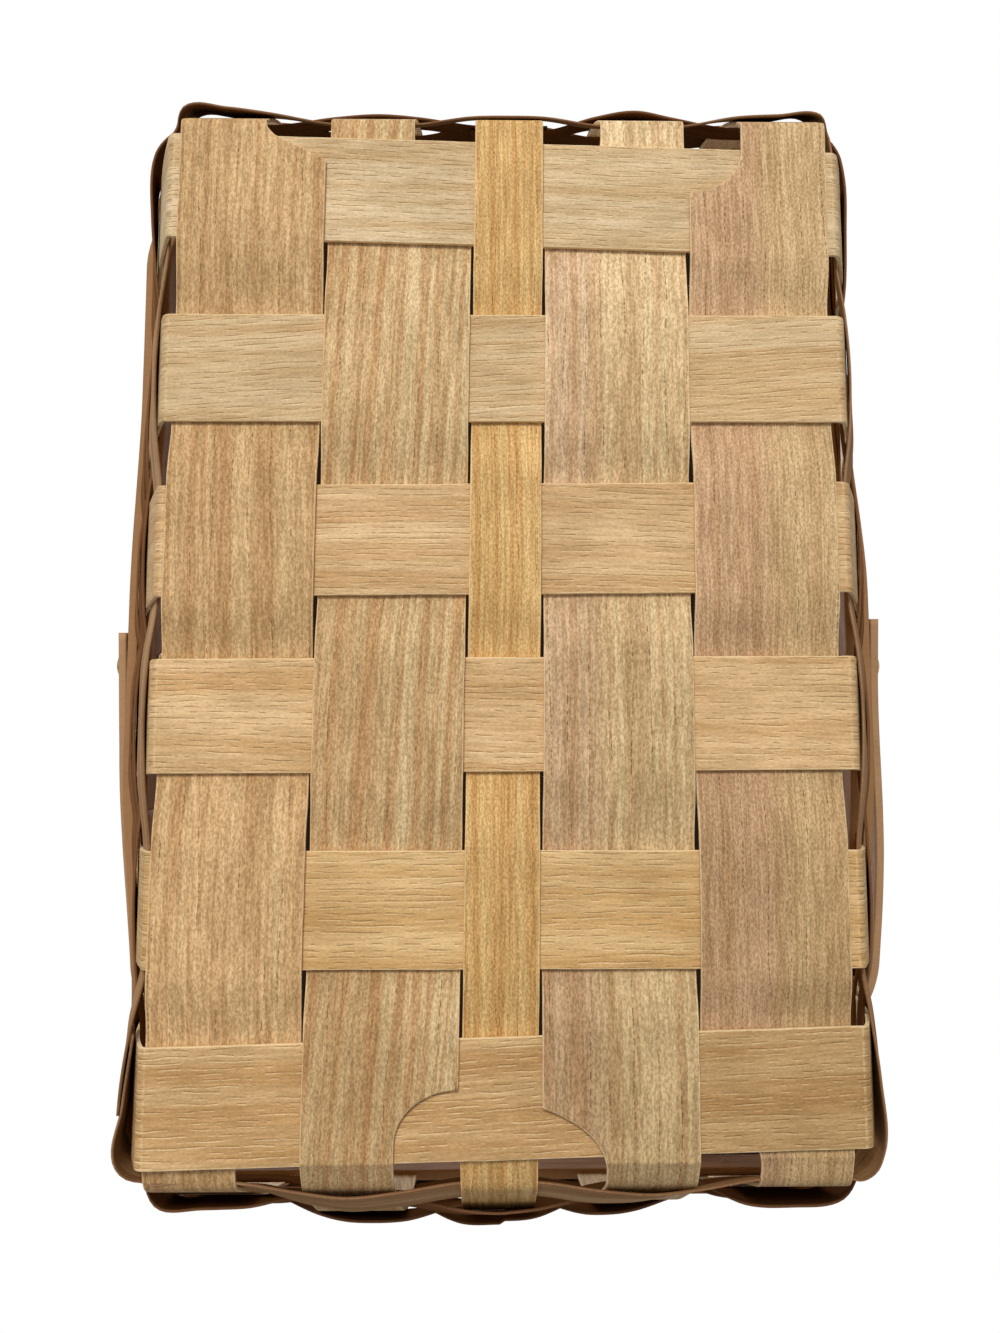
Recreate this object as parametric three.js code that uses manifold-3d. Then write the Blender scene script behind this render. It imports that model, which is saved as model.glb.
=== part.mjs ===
// Rectangular splint basket with a swinging bentwood handle. Millimetres, +Z up.
// X runs along the basket and Y across it. The origin is the middle of the base on its underside.
import * as THREE from 'three';
import Module from 'manifold-3d';
import { mergeVertices } from 'three/addons/utils/BufferGeometryUtils.js';

const wasm = await Module();
wasm.setup();

// Splints of the base, which bend up and become the uprights of the wall
const splintThickness = 1.5;
const splintClearance = 0.3;
const wideSplintWidth = 49.5;
const narrowSplintWidth = 25;
const crossSplintWidth = 38.5;
const uprightWidth = 30;
const lengthwiseGap = 1;
const crossGap = 22;
const crossGapShares = [1.16, 1, 1, 1.2, 1];
const crossDriftShares = [-0.15, 0.01, 0.05, 0.03, 0, 0.15];
const crossingMargin = 1;
const bendRadius = 8;
const uprightTopInset = 1;

// Wide splints are cut narrower on their inner side where they become uprights.
// Each cut starts and runs for these shares of the splint's width, from the basket's edge inwards.
const cutStyles = {
  chamfer: (share) => share,
  arc: (share) => Math.sqrt(1 - (1 - share) ** 2),
  ogee: (share) => 1 - (1 - share) ** 2.2,
};
const cutStepShares = [0, 0.06, 0.16, 0.32, 0.55, 0.78, 1];
const hiddenCut = { style: 'arc', startShare: 0.3, runShare: 0.36 };
const frontCuts = [
  { style: 'chamfer', startShare: 0.17, runShare: 0.24 },
  hiddenCut,
  hiddenCut,
  { style: 'arc', startShare: 0.29, runShare: 0.3 },
];
const backCuts = [
  hiddenCut,
  { style: 'arc', startShare: 0.5, runShare: 0.48 },
  { style: 'ogee', startShare: 0.38, runShare: 0.46 },
  hiddenCut,
];

// Wall: its height, and its outward slopes as run over rise
const wallHeight = 131;
const sideFlare = { start: 0.42, wall: 0.34, rim: 0.06, reach: 3.5, fade: 60 };
const endFlare = { start: 0.66, wall: 0.13, rim: 0.06, reach: 6, fade: 80 };
const straightFoot = 9;
const kneeHeight = 8;
const cornerReach = 3.2;
const profileSteps = 262;

// Weavers that run round the wall
const weaverWidth = 19;
const weaverThickness = 1.2;
const weaverClearance = 0.8;
const rowGap = 0.5;
const firstRowRise = 8;
const lapUprights = [16, 8, 5, 14, 1, 10, 19];
const lapOverhang = 3;
const gapSteps = 3;
const cornerSteps = 7;

// Rim bands and the tacks that hold them
const rimHeight = 25;
const rimThickness = 4;
const rimClearance = 0.3;
const scarfLength = 60;
const scarfFeather = 0.8;
const scarfCutShare = 0.78;
const rimCornerSteps = 10;
const tackShankRadius = 0.7;
const tackHeadRadius = 2.6;
const tackHeadHeight = 0.8;
const tackClinch = 1;
const tackSides = 6;

// Swinging handle and its pivots
const handleWidth = 18;
const handleThickness = 3.6;
const handleTail = 16;
const handleArm = 130;
const handleBow = 80;
const handleShoulder = 6;
const handleSpacing = 0.8;
const pivotDrop = 9;
const bowSteps = 14;
const rivetRadius = 2.5;
const rivetHeadRadius = 5.5;
const rivetHeadHeight = 2.5;
const rivetPeenRadius = 4;
const rivetPeenHeight = 1.5;
const washerRadius = 5.5;
const washerThickness = 0.7;
const roundSides = 16;

// Fits
const seatGap = 0.1;
const holeClearance = 0.3;
const cutOverrun = 2;

const up = new THREE.Vector3(0, 0, 1);
const lerp = THREE.MathUtils.lerp;
const clamp = THREE.MathUtils.clamp;
const ease = (share) => share * share * (3 - 2 * share);

// Where the splints lie
const lengthwiseWidths = [
  wideSplintWidth, wideSplintWidth, narrowSplintWidth, wideSplintWidth, wideSplintWidth,
];
const lengthwiseGaps = (lengthwiseWidths.length - 1) * lengthwiseGap;
const baseWidth = lengthwiseWidths.reduce((sum, width) => sum + width, lengthwiseGaps);
const crossGaps = crossGapShares.map((share) => share * crossGap);
const crossCount = crossDriftShares.length;
const baseLength = crossGaps.reduce((sum, gap) => sum + gap, crossCount * crossSplintWidth);
const layerRise = splintThickness + splintClearance;

const lengthwiseSplints = [];
lengthwiseWidths.reduce((low, width) => {
  lengthwiseSplints.push({ low, high: low + width, middle: low + width / 2 });
  return low + width + lengthwiseGap;
}, -baseWidth / 2);

const crossSplints = [];
crossDriftShares.reduce((high, driftShare, index) => {
  const middle = high - crossSplintWidth / 2;
  crossSplints.push({ middle, drift: driftShare * crossSplintWidth });
  return high - crossSplintWidth - (index < crossGaps.length ? crossGaps[index] : 0);
}, baseLength / 2);

const driftAt = (splint, y) => splint.drift * clamp(y / baseWidth, -0.5, 0.5);
const lengthwiseOutside = (lengthwise, cross) => (lengthwise + cross) % 2 === 0;

// Profile of one wall: how far it leans out at a height, and where a length along its slope ends
function makeWall(flare, halfBase) {
  const rimFoot = wallHeight - rimHeight;
  const slopeAt = (height) => {
    const fade = clamp((height - straightFoot) / flare.fade, 0, 1);
    const knee = clamp((height - rimFoot + kneeHeight) / kneeHeight, 0, 1);
    return lerp(flare.wall + (flare.start - flare.wall) * (1 - fade) ** 2, flare.rim, ease(knee));
  };
  const rise = wallHeight / profileSteps;
  const table = [{ height: 0, lean: 0, length: 0 }];
  for (let step = 1; step <= profileSteps; step += 1) {
    const before = table[step - 1];
    const slope = slopeAt(before.height + rise / 2);
    table.push({
      height: step * rise,
      lean: before.lean + slope * rise,
      length: before.length + Math.hypot(1, slope) * rise,
    });
  }
  const lookUp = (value, key) => {
    const after = Math.max(1, table.findIndex((entry) => entry[key] >= value));
    const [low, high] = [table[after - 1], table[after]];
    const share = (value - low[key]) / (high[key] - low[key]);
    const between = (name) => lerp(low[name], high[name], share);
    return { height: between('height'), lean: between('lean'), length: between('length') };
  };
  const foot = halfBase + flare.reach;
  const place = ({ height, lean }) => ({ height, out: foot + lean, slope: slopeAt(height) });
  const lengthAt = (height) => lookUp(height, 'height').length;
  return {
    foot,
    startSlope: flare.start,
    lengthAt,
    atHeight: (height) => place(lookUp(height, 'height')),
    atLength: (length) => place(lookUp(length, 'length')),
  };
}

const sideWall = makeWall(sideFlare, baseWidth / 2);
const endWall = makeWall(endFlare, baseLength / 2);

// Closed strip lofted through rectangular sections, each with a centre and reaches along two directions
function ribbon(sections) {
  const positions = [];
  for (const { centre, across, face, low, high, inner, outer } of sections) {
    for (const [a, f] of [[low, inner], [high, inner], [high, outer], [low, outer]]) {
      const corner = centre.clone().addScaledVector(across, a).addScaledVector(face, f);
      positions.push(corner.x, corner.y, corner.z);
    }
  }
  const indices = [];
  const last = (sections.length - 1) * 4;
  for (let start = 0; start < last; start += 4) {
    for (let side = 0; side < 4; side += 1) {
      const [a, b] = [start + side, start + ((side + 1) % 4)];
      indices.push(a, b, b + 4, a, b + 4, a + 4);
    }
  }
  indices.push(0, 2, 1, 0, 3, 2, last, last + 1, last + 2, last, last + 2, last + 3);
  return facingOut(positions, indices);
}

// Geometry whose triangles face outwards
function facingOut(positions, indices) {
  const at = (index) => new THREE.Vector3().fromArray(positions, index * 3);
  let volume = 0;
  for (let i = 0; i < indices.length; i += 3) {
    volume += at(indices[i]).dot(at(indices[i + 1]).cross(at(indices[i + 2])));
  }
  const geometry = new THREE.BufferGeometry();
  geometry.setAttribute('position', new THREE.Float32BufferAttribute(positions, 3));
  geometry.setIndex(volume > 0 ? indices : indices.slice().reverse());
  return geometry;
}

// Booleans
function toSolid(geometry) {
  const bare = geometry.clone();
  bare.deleteAttribute('normal');
  bare.deleteAttribute('uv');
  const merged = mergeVertices(bare);
  return new wasm.Manifold(new wasm.Mesh({
    numProp: 3,
    vertProperties: new Float32Array(merged.attributes.position.array),
    triVerts: new Uint32Array(merged.index.array),
  }));
}

function drilled(geometry, drills) {
  const solid = drills.reduce((body, drill) => body.subtract(toSolid(drill)), toSolid(geometry));
  const mesh = solid.getMesh();
  const result = new THREE.BufferGeometry();
  result.setAttribute('position', new THREE.BufferAttribute(new Float32Array(mesh.vertProperties), 3));
  result.setIndex(new THREE.BufferAttribute(new Uint32Array(mesh.triVerts), 1));
  return result;
}

// Hole cutter along a direction, centred on a point
function drill(centre, direction, radius, length, sides) {
  const geometry = new THREE.CylinderGeometry(radius, radius, length, sides);
  return placed(geometry, centre, direction);
}

function placed(geometry, centre, direction) {
  geometry.applyQuaternion(new THREE.Quaternion().setFromUnitVectors(new THREE.Vector3(0, 1, 0), direction));
  return geometry.translate(centre.x, centre.y, centre.z);
}

// Side view of one splint from the base's edge up the wall: distance out, height, and angle of travel
function bentPath(wall, baseHeight) {
  const flareAngle = Math.atan(wall.startSlope);
  const arcOut = wall.foot + (baseHeight + bendRadius) * wall.startSlope - bendRadius / Math.cos(flareAngle);
  const turn = Math.PI / 2 - flareAngle;
  const arcSteps = 6;
  const path = [];
  for (let step = 0; step <= arcSteps; step += 1) {
    const angle = (turn * step) / arcSteps;
    path.push({
      out: arcOut + bendRadius * Math.sin(angle),
      height: baseHeight + bendRadius * (1 - Math.cos(angle)),
      angle,
    });
  }
  const kneeFoot = wallHeight - rimHeight - kneeHeight;
  const arcTop = path[path.length - 1].height;
  const wallStepShares = [0.08, 0.18, 0.3, 0.44, 0.6, 0.8, 1];
  const kneeStepShares = [0.35, 0.65, 1];
  const heights = [
    ...wallStepShares.map((share) => lerp(arcTop, kneeFoot, share)),
    ...kneeStepShares.map((share) => kneeFoot + share * kneeHeight),
    wallHeight - uprightTopInset,
  ];
  for (const height of heights) {
    const { out, slope } = wall.atHeight(height);
    path.push({ out, height, angle: Math.PI / 2 - Math.atan(slope) });
  }
  return path;
}

// Sections of a splint: direction gives its long way in plan, spanAt its edges for a distance along it
function splintSections(path, direction, spanAt) {
  const across = direction.clone().cross(up).normalize().negate();
  return path.map(({ along, height, angle }) => {
    const [low, high] = spanAt(along);
    const face = direction.clone().multiplyScalar(Math.sin(angle)).addScaledVector(up, -Math.cos(angle));
    return {
      centre: direction.clone().multiplyScalar(along).addScaledVector(up, height),
      across,
      face,
      low,
      high,
      inner: -splintThickness / 2,
      outer: splintThickness / 2,
    };
  });
}

// Both uprights of a splint and what lies between them, from the negative end to the positive one
function uShapedPath(wall, basePath, lowBase, highBase) {
  const heading = (sign) => ({ out, height, angle }) => ({ along: sign * out, height, angle: sign * angle });
  const rising = bentPath(wall, highBase).map(heading(1));
  const falling = bentPath(wall, lowBase).map(heading(-1));
  return [...falling.reverse(), ...basePath, ...rising];
}

// Lengthwise splint: weaves under and over the cross splints
function lengthwisePath(index) {
  const { middle } = lengthwiseSplints[index];
  const levels = crossSplints.map((cross, crossIndex) => {
    const outside = lengthwiseOutside(index, crossIndex);
    return splintThickness / 2 + (outside ? 0 : 2 * layerRise);
  });
  const base = [];
  for (let cross = crossCount - 1; cross >= 0; cross -= 1) {
    const splint = crossSplints[cross];
    const place = splint.middle + driftAt(splint, middle);
    const reach = crossSplintWidth / 2 + crossingMargin;
    if (cross < crossCount - 1) {
      base.push({ along: place - reach, height: levels[cross], angle: 0 });
    }
    if (cross > 0) {
      base.push({ along: place + reach, height: levels[cross], angle: 0 });
      const next = crossSplints[cross - 1];
      const nextFoot = next.middle + driftAt(next, middle) - reach;
      const [run, rise] = [nextFoot - place - reach, levels[cross - 1] - levels[cross]];
      for (const share of [0.25, 0.5, 0.75]) {
        base.push({
          along: place + reach + share * run,
          height: levels[cross] + ease(share) * rise,
          angle: Math.atan((6 * share * (1 - share) * rise) / run),
        });
      }
    }
  }
  return uShapedPath(endWall, base, levels[crossCount - 1], levels[0]);
}

// Cuts of one wide splint: where the upright narrows, as stations along the splint with a share of narrowing
function cutStations(cut, end) {
  const edge = baseLength / 2 - cut.startShare * wideSplintWidth;
  return cutStepShares.map((share) => ({
    along: end * (edge + share * cut.runShare * wideSplintWidth),
    narrowing: cutStyles[cut.style](share),
  }));
}

function lengthwiseSplint(index) {
  const { low, high } = lengthwiseSplints[index];
  const path = lengthwisePath(index);
  const wide = high - low > uprightWidth;
  let spanAt = () => [low, high];
  if (wide) {
    const cutIndex = index < 2 ? index : index - 1;
    const stations = [...cutStations(backCuts[cutIndex], -1).reverse(), ...cutStations(frontCuts[cutIndex], 1)];
    const excess = high - low - uprightWidth;
    const narrowingAt = (along) => {
      const after = stations.findIndex((station) => station.along >= along);
      if (after <= 0) {
        return 1;
      }
      const [a, b] = [stations[after - 1], stations[after]];
      return lerp(a.narrowing, b.narrowing, (along - a.along) / (b.along - a.along));
    };
    spanAt = (along) => {
      const cut = excess * narrowingAt(along);
      return low < 0 ? [low, high - cut] : [low + cut, high];
    };
    insertStations(path, stations);
  }
  return ribbon(splintSections(path, new THREE.Vector3(1, 0, 0), spanAt));
}

// Adds path points at the cut's stations, between the points that the path has already
function insertStations(path, stations) {
  for (const { along } of stations) {
    const after = path.findIndex((point) => point.along > along);
    if (path[after - 1].along < along) {
      const [a, b] = [path[after - 1], path[after]];
      const share = (along - a.along) / (b.along - a.along);
      const [height, angle] = [lerp(a.height, b.height, share), lerp(a.angle, b.angle, share)];
      path.splice(after, 0, { along, height, angle });
    }
  }
}

function crossSplint(index) {
  const splint = crossSplints[index];
  const height = splintThickness / 2 + layerRise;
  const path = uShapedPath(sideWall, [], height, height);
  const spanAt = (along) => {
    const middle = splint.middle + driftAt(splint, along);
    return [-middle - crossSplintWidth / 2, -middle + crossSplintWidth / 2];
  };
  return ribbon(splintSections(path, new THREE.Vector3(0, 1, 0), spanAt));
}

// Level line round the wall, from the places of the side walls and the end walls
function makeLevel(side, end) {
  const leanLeast = Math.min(side.out - sideWall.foot, end.out - endWall.foot);
  const radius = cornerReach + leanLeast;
  const [straightX, straightY] = [end.out - radius, side.out - radius];
  const arc = (Math.PI / 2) * radius;
  const lengths = [2 * straightX, arc, 2 * straightY, arc, 2 * straightX, arc, 2 * straightY, arc];
  const starts = lengths.map((_, index) => lengths.slice(0, index).reduce((sum, length) => sum + length, 0));
  const perimeter = starts[7] + arc;
  const corners = [[1, 1], [1, -1], [-1, -1], [-1, 1]];
  const placeAt = (distance) => {
    const wrapped = THREE.MathUtils.euclideanModulo(distance, perimeter);
    const part = starts.findLastIndex((start) => wrapped >= start);
    const along = wrapped - starts[part];
    const quarter = Math.floor(part / 2);
    const onArc = part % 2 === 1;
    const turned = quarter * (Math.PI / 2) + (onArc ? along / radius : 0);
    const normal = new THREE.Vector3(Math.sin(turned), Math.cos(turned), 0);
    const fromCorner = onArc ? 0 : lengths[part] - along;
    const [cornerX, cornerY] = corners[quarter];
    const heading = new THREE.Vector3(Math.cos(turned), -Math.sin(turned), 0);
    const centre = new THREE.Vector3(cornerX * straightX, cornerY * straightY, 0)
      .addScaledVector(normal, radius)
      .addScaledVector(heading, -fromCorner);
    const endShare = Math.sin(turned) ** 2;
    centre.z = lerp(side.height, end.height, endShare);
    return { centre, normal, slope: lerp(side.slope, end.slope, endShare) };
  };
  const spans = [
    ...[5, 4, 3, 2, 1, 0].map((index) => {
      const middle = crossSplints[index].middle + driftAt(crossSplints[index], baseWidth);
      return spanAround(starts[0] + straightX + middle, crossSplintWidth);
    }),
    ...[4, 3, 2, 1, 0].map((index) => endSpan(index, starts[2] + straightY - uprightMiddle(index))),
    ...[0, 1, 2, 3, 4, 5].map((index) => {
      const middle = crossSplints[index].middle + driftAt(crossSplints[index], -baseWidth);
      return spanAround(starts[4] + straightX - middle, crossSplintWidth);
    }),
    ...[0, 1, 2, 3, 4].map((index) => endSpan(index, starts[6] + straightY + uprightMiddle(index))),
  ];
  const cornerGaps = [5, 10, 16, 21];
  return { placeAt, spans, perimeter, cornerGaps, starts, arc, straightX };
}

const spanAround = (middle, width) => ({ from: middle - width / 2, to: middle + width / 2 });
const endSpan = (index, middle) => spanAround(middle, uprightWidthOf(index));

function uprightWidthOf(index) {
  const { low, high } = lengthwiseSplints[index];
  return Math.min(uprightWidth, high - low);
}

function uprightMiddle(index) {
  const { low, high } = lengthwiseSplints[index];
  if (high - low <= uprightWidth) {
    return (low + high) / 2;
  }
  return low < 0 ? low + uprightWidth / 2 : high - uprightWidth / 2;
}

// Section of a band that stands on a level line: offset goes out along the wall's face
function standingSection(level, distance, offset, height, inner, outer) {
  const { centre, normal, slope } = level.placeAt(distance);
  const scale = 1 / Math.hypot(1, slope);
  const face = normal.clone().addScaledVector(up, -slope).multiplyScalar(scale);
  const across = normal.clone().multiplyScalar(slope).add(up).multiplyScalar(scale);
  return {
    centre: centre.addScaledVector(face, offset),
    across,
    face,
    low: -height / 2,
    high: height / 2,
    inner,
    outer,
  };
}

// As many rows as fit under the rim
const rowRoom = Math.min(...[sideWall, endWall].map((wall) => wall.lengthAt(wallHeight - rimHeight)));
const rowCount = Math.floor((rowRoom - firstRowRise) / (weaverWidth + rowGap));

// Weaver: passes outside and inside the uprights in turn, once round, and laps over its own start
function weaver(row) {
  const length = firstRowRise + weaverWidth / 2 + (row - 1) * (weaverWidth + rowGap);
  const level = makeLevel(sideWall.atLength(length), endWall.atLength(length));
  const count = level.spans.length;
  const first = lapUprights[(row - 1) % lapUprights.length];
  const close = splintThickness / 2 + weaverClearance + weaverThickness / 2;
  const signOf = (upright) => ((upright + row) % 2 === 1 ? 1 : -1);
  const passes = [];
  for (let step = 0; step <= count; step += 1) {
    const upright = (first + step) % count;
    const turns = first + step >= count ? level.perimeter : 0;
    const extra = step === count ? weaverThickness + splintClearance : 0;
    const span = level.spans[upright];
    const early = step === count ? lapOverhang + crossingMargin : 0;
    passes.push({
      upright,
      from: span.from + turns - early,
      to: span.to + turns,
      offset: signOf(upright) * (close + extra),
    });
  }
  passes[0].from -= lapOverhang;
  passes[count].to += lapOverhang;
  const stations = [];
  passes.forEach((pass, index) => {
    stations.push({ distance: pass.from, offset: pass.offset }, { distance: pass.to, offset: pass.offset });
    if (index < count) {
      const next = passes[index + 1];
      const steps = level.cornerGaps.includes(pass.upright) ? cornerSteps : gapSteps;
      for (let step = 1; step < steps; step += 1) {
        const share = step / steps;
        stations.push({
          distance: lerp(pass.to, next.from, share),
          offset: lerp(pass.offset, next.offset, ease(share)),
        });
      }
    }
  });
  const half = weaverThickness / 2;
  return ribbon(stations.map(({ distance, offset }) => (
    standingSection(level, distance, offset, weaverWidth, -half, half)
  )));
}

// Rim: two bands with the uprights between them, each joined by a long scarf
const rimMiddle = wallHeight - rimHeight / 2;
const rimLevel = makeLevel(sideWall.atHeight(rimMiddle), endWall.atHeight(rimMiddle));
const rimOffset = splintThickness / 2 + rimClearance + rimThickness / 2;

function rimBand(side, scarfStart) {
  const { starts, arc, perimeter } = rimLevel;
  const scarfEnd = scarfStart + perimeter;
  const half = rimThickness / 2;
  const distances = [
    scarfStart,
    scarfStart + scarfLength,
    scarfEnd - 2 * seatGap,
    scarfEnd - seatGap,
    scarfEnd + scarfCutShare * scarfLength,
  ];
  [1, 3, 5, 7].forEach((part) => {
    for (let step = 0; step <= rimCornerSteps; step += 1) {
      const distance = starts[part] + (arc * step) / rimCornerSteps;
      distances.push(distance > scarfStart ? distance : distance + perimeter);
    }
  });
  distances.sort((a, b) => a - b);
  const scarfAt = (run) => lerp(scarfFeather - half, half, clamp(run / scarfLength, 0, 1));
  const sections = distances.map((distance) => {
    const inner = distance < scarfEnd - seatGap ? -half : scarfAt(distance - scarfEnd) + seatGap;
    const outer = scarfAt(distance - scarfStart);
    return standingSection(rimLevel, distance, side * rimOffset, rimHeight, inner, outer);
  });
  return ribbon(sections);
}

// Tacks through the bands and each upright
const tackPlaces = rimLevel.spans.map(({ from, to }) => {
  const { centre, face } = standingSection(rimLevel, (from + to) / 2, 0, rimHeight, 0, 0);
  return { centre, face };
});
const tackHoles = (places) => {
  const length = 2 * (rimOffset + rimThickness);
  const radius = tackShankRadius + holeClearance;
  return places.map(({ centre, face }) => drill(centre, face, radius, length, tackSides));
};

function tack({ centre, face }) {
  const seat = rimOffset + rimThickness / 2 + seatGap;
  const point = -(rimOffset + rimThickness / 2 + tackClinch);
  const profile = [
    [0, point],
    [tackShankRadius, point],
    [tackShankRadius, seat],
    [tackHeadRadius, seat],
    [tackHeadRadius / 2, seat + tackHeadHeight * 0.8],
    [0, seat + tackHeadHeight],
  ];
  const points = profile.map(([x, y]) => new THREE.Vector2(x, y));
  return placed(new THREE.LatheGeometry(points, tackSides), centre, face);
}

// Pivots of the handle, where the gap between the middle cross splints leaves the rim clear
const rimSlope = sideFlare.rim;
const bandStack = 2 * (rimOffset + rimThickness / 2) * Math.hypot(1, rimSlope);
const rimFaceAt = (drop) => {
  const top = sideWall.atHeight(rimMiddle).out + bandStack / 2 + (rimSlope * rimHeight) / 2;
  return top - rimSlope * drop;
};
const armInner = rimFaceAt(0) + handleSpacing;
const pivotX = (crossSplints[2].middle + crossSplints[3].middle) / 2;
const pivotHeight = wallHeight - pivotDrop;
const burrOuter = rimFaceAt(pivotDrop + washerRadius) - bandStack - seatGap;
const pivotSides = [{ name: 'left', sign: -1 }, { name: 'right', sign: 1 }];

// Lift at which the handle's shoulders come to rest on the rim
const shoulderDistance = handleArm + handleShoulder;
const restLift = Math.asin((pivotDrop + splintClearance) / Math.hypot(shoulderDistance, handleWidth / 2))
  + Math.atan(handleWidth / 2 / shoulderDistance);

function handle() {
  const middle = armInner + handleThickness / 2;
  const quarter = [];
  for (let step = 0; step <= bowSteps; step += 1) {
    const angle = (Math.PI / 2) * (step / bowSteps);
    quarter.push({
      centre: new THREE.Vector3(-handleArm - handleBow * Math.sin(angle), middle * Math.cos(angle), 0),
      face: new THREE.Vector3(-Math.sin(angle) / handleBow, Math.cos(angle) / middle, 0).normalize(),
    });
  }
  const sideways = new THREE.Vector3(0, 1, 0);
  const arm = { centre: new THREE.Vector3(handleTail, middle, 0), face: sideways };
  const half = [arm, ...quarter];
  const mirrored = half.slice(0, -1).reverse().map(({ centre, face }) => ({
    centre: centre.clone().setY(-centre.y),
    face: face.clone().setY(-face.y),
  }));
  const sections = [...half, ...mirrored].map(({ centre, face }) => ({
    centre,
    face,
    across: up,
    low: -handleWidth / 2,
    high: handleWidth / 2,
    inner: -handleThickness / 2,
    outer: handleThickness / 2,
  }));
  const holeLength = 2 * (middle + handleThickness + cutOverrun);
  const hole = drill(new THREE.Vector3(), sideways, rivetRadius + holeClearance, holeLength, roundSides);
  return drilled(ribbon(sections), [hole]);
}

// Shapes turned about the pivot, measured outwards from the middle of the basket
function turned(profile, sign) {
  const points = profile.map(([radius, out]) => new THREE.Vector2(radius, out));
  const centre = new THREE.Vector3(pivotX, 0, pivotHeight);
  return placed(new THREE.LatheGeometry(points, roundSides), centre, new THREE.Vector3(0, sign, 0));
}

function rivet(sign) {
  const headSeat = armInner + handleThickness + holeClearance;
  const peenSeat = burrOuter - washerThickness - seatGap;
  return turned([
    [0, peenSeat - rivetPeenHeight],
    [rivetPeenRadius * 0.7, peenSeat - rivetPeenHeight],
    [rivetPeenRadius, peenSeat],
    [rivetRadius, peenSeat],
    [rivetRadius, headSeat],
    [rivetHeadRadius, headSeat],
    [rivetHeadRadius * 0.85, headSeat + rivetHeadHeight * 0.6],
    [rivetHeadRadius * 0.45, headSeat + rivetHeadHeight * 0.92],
    [0, headSeat + rivetHeadHeight],
  ], sign);
}

function ring(outerFace, sign) {
  const [hole, innerFace] = [rivetRadius + holeClearance, outerFace - washerThickness];
  return turned([
    [hole, innerFace],
    [washerRadius, innerFace],
    [washerRadius, outerFace],
    [hole, outerFace],
    [hole, innerFace],
  ], sign);
}

// Materials
const woods = {
  lengthwise: { color: 0xc89a66, roughness: 0.62 },
  cross: { color: 0xcfa873, roughness: 0.6 },
  weaver: { color: 0xb07d4c, roughness: 0.62 },
  rim: { color: 0xa9764a, roughness: 0.6 },
  handle: { color: 0x8a6443, roughness: 0.55 },
};
const metals = {
  brass: { color: 0xb08d4f, roughness: 0.35, metalness: 1 },
  steel: { color: 0x8c8a86, roughness: 0.4, metalness: 1 },
};

const basket = new THREE.Group();

function add(name, geometry, look, parent = basket) {
  const mesh = new THREE.Mesh(geometry, new THREE.MeshStandardMaterial({ metalness: 0, ...look }));
  mesh.name = name;
  parent.add(mesh);
}

// Uprights of each splint, as places in the order of the spans round the rim
const holesOfCross = (index) => tackHoles([tackPlaces[5 - index], tackPlaces[11 + index]]);
const holesOfLengthwise = (index) => tackHoles([tackPlaces[10 - index], tackPlaces[17 + index]]);

lengthwiseSplints.forEach((_, index) => {
  const geometry = drilled(lengthwiseSplint(index), holesOfLengthwise(index));
  add(`lengthwise_splint_${index + 1}`, geometry, woods.lengthwise);
});
crossSplints.forEach((_, index) => {
  add(`cross_splint_${index + 1}`, drilled(crossSplint(index), holesOfCross(index)), woods.cross);
});
for (let row = 1; row <= rowCount; row += 1) {
  add(`weaver_row_${row}`, weaver(row), woods.weaver);
}

const pivotHoles = pivotSides.map(({ sign }) => {
  const place = new THREE.Vector3(pivotX, sign * (armInner - bandStack / 2), pivotHeight);
  const length = bandStack + handleSpacing + 2 * cutOverrun;
  return drill(place, new THREE.Vector3(0, 1, 0), rivetRadius + holeClearance, length, roundSides);
});
const rimHoles = [...tackHoles(tackPlaces), ...pivotHoles];
const bandGap = (index) => (rimLevel.spans[index].to + rimLevel.spans[index + 1].from) / 2;
add('rim_outer_band', drilled(rimBand(1, bandGap(3)), rimHoles), woods.rim);
add('rim_inner_band', drilled(rimBand(-1, bandGap(14)), rimHoles), woods.rim);
tackPlaces.forEach((place, index) => add(`rim_tack_${index + 1}`, tack(place), metals.steel));

const swing = new THREE.Group();
swing.position.set(pivotX, 0, pivotHeight);
swing.rotation.y = restLift;
basket.add(swing);
add('swing_handle', handle(), woods.handle, swing);

pivotSides.forEach(({ name, sign }) => {
  add(`${name}_handle_rivet`, rivet(sign), metals.brass);
  add(`${name}_handle_washer`, ring(armInner - seatGap, sign), metals.brass);
  add(`${name}_rivet_burr`, ring(burrOuter, sign), metals.brass);
});

export default basket;
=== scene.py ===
"""Looks of a rectangular splint basket with a swinging bentwood handle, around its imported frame.

The frame is in metres. X runs along the basket, Y across it and Z up. Sizes are written in
millimetres times MM. The photograph looks at the underside, so its camera stands below the floor.
"""
import logging
import math
from dataclasses import dataclass, field
from enum import Enum
from typing import Callable, Sequence

import bmesh
import bpy
import numpy as np
from mathutils import Matrix, Vector


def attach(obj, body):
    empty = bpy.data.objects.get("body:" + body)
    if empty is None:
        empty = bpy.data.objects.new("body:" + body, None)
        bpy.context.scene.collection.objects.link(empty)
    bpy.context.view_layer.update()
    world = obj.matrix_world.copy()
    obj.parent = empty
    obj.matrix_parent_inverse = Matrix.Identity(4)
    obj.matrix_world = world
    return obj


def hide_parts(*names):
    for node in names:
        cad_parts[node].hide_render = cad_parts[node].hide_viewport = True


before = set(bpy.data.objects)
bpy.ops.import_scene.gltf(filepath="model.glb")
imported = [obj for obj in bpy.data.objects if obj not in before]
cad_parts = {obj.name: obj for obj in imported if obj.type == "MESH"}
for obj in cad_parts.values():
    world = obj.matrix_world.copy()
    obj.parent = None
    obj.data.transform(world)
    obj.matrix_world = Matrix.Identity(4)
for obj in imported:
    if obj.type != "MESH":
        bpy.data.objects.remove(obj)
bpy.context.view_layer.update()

LOG = logging.getLogger("basket")
MM = 0.001
BASKET = "basket"
HANDLE = "handle"
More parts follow.
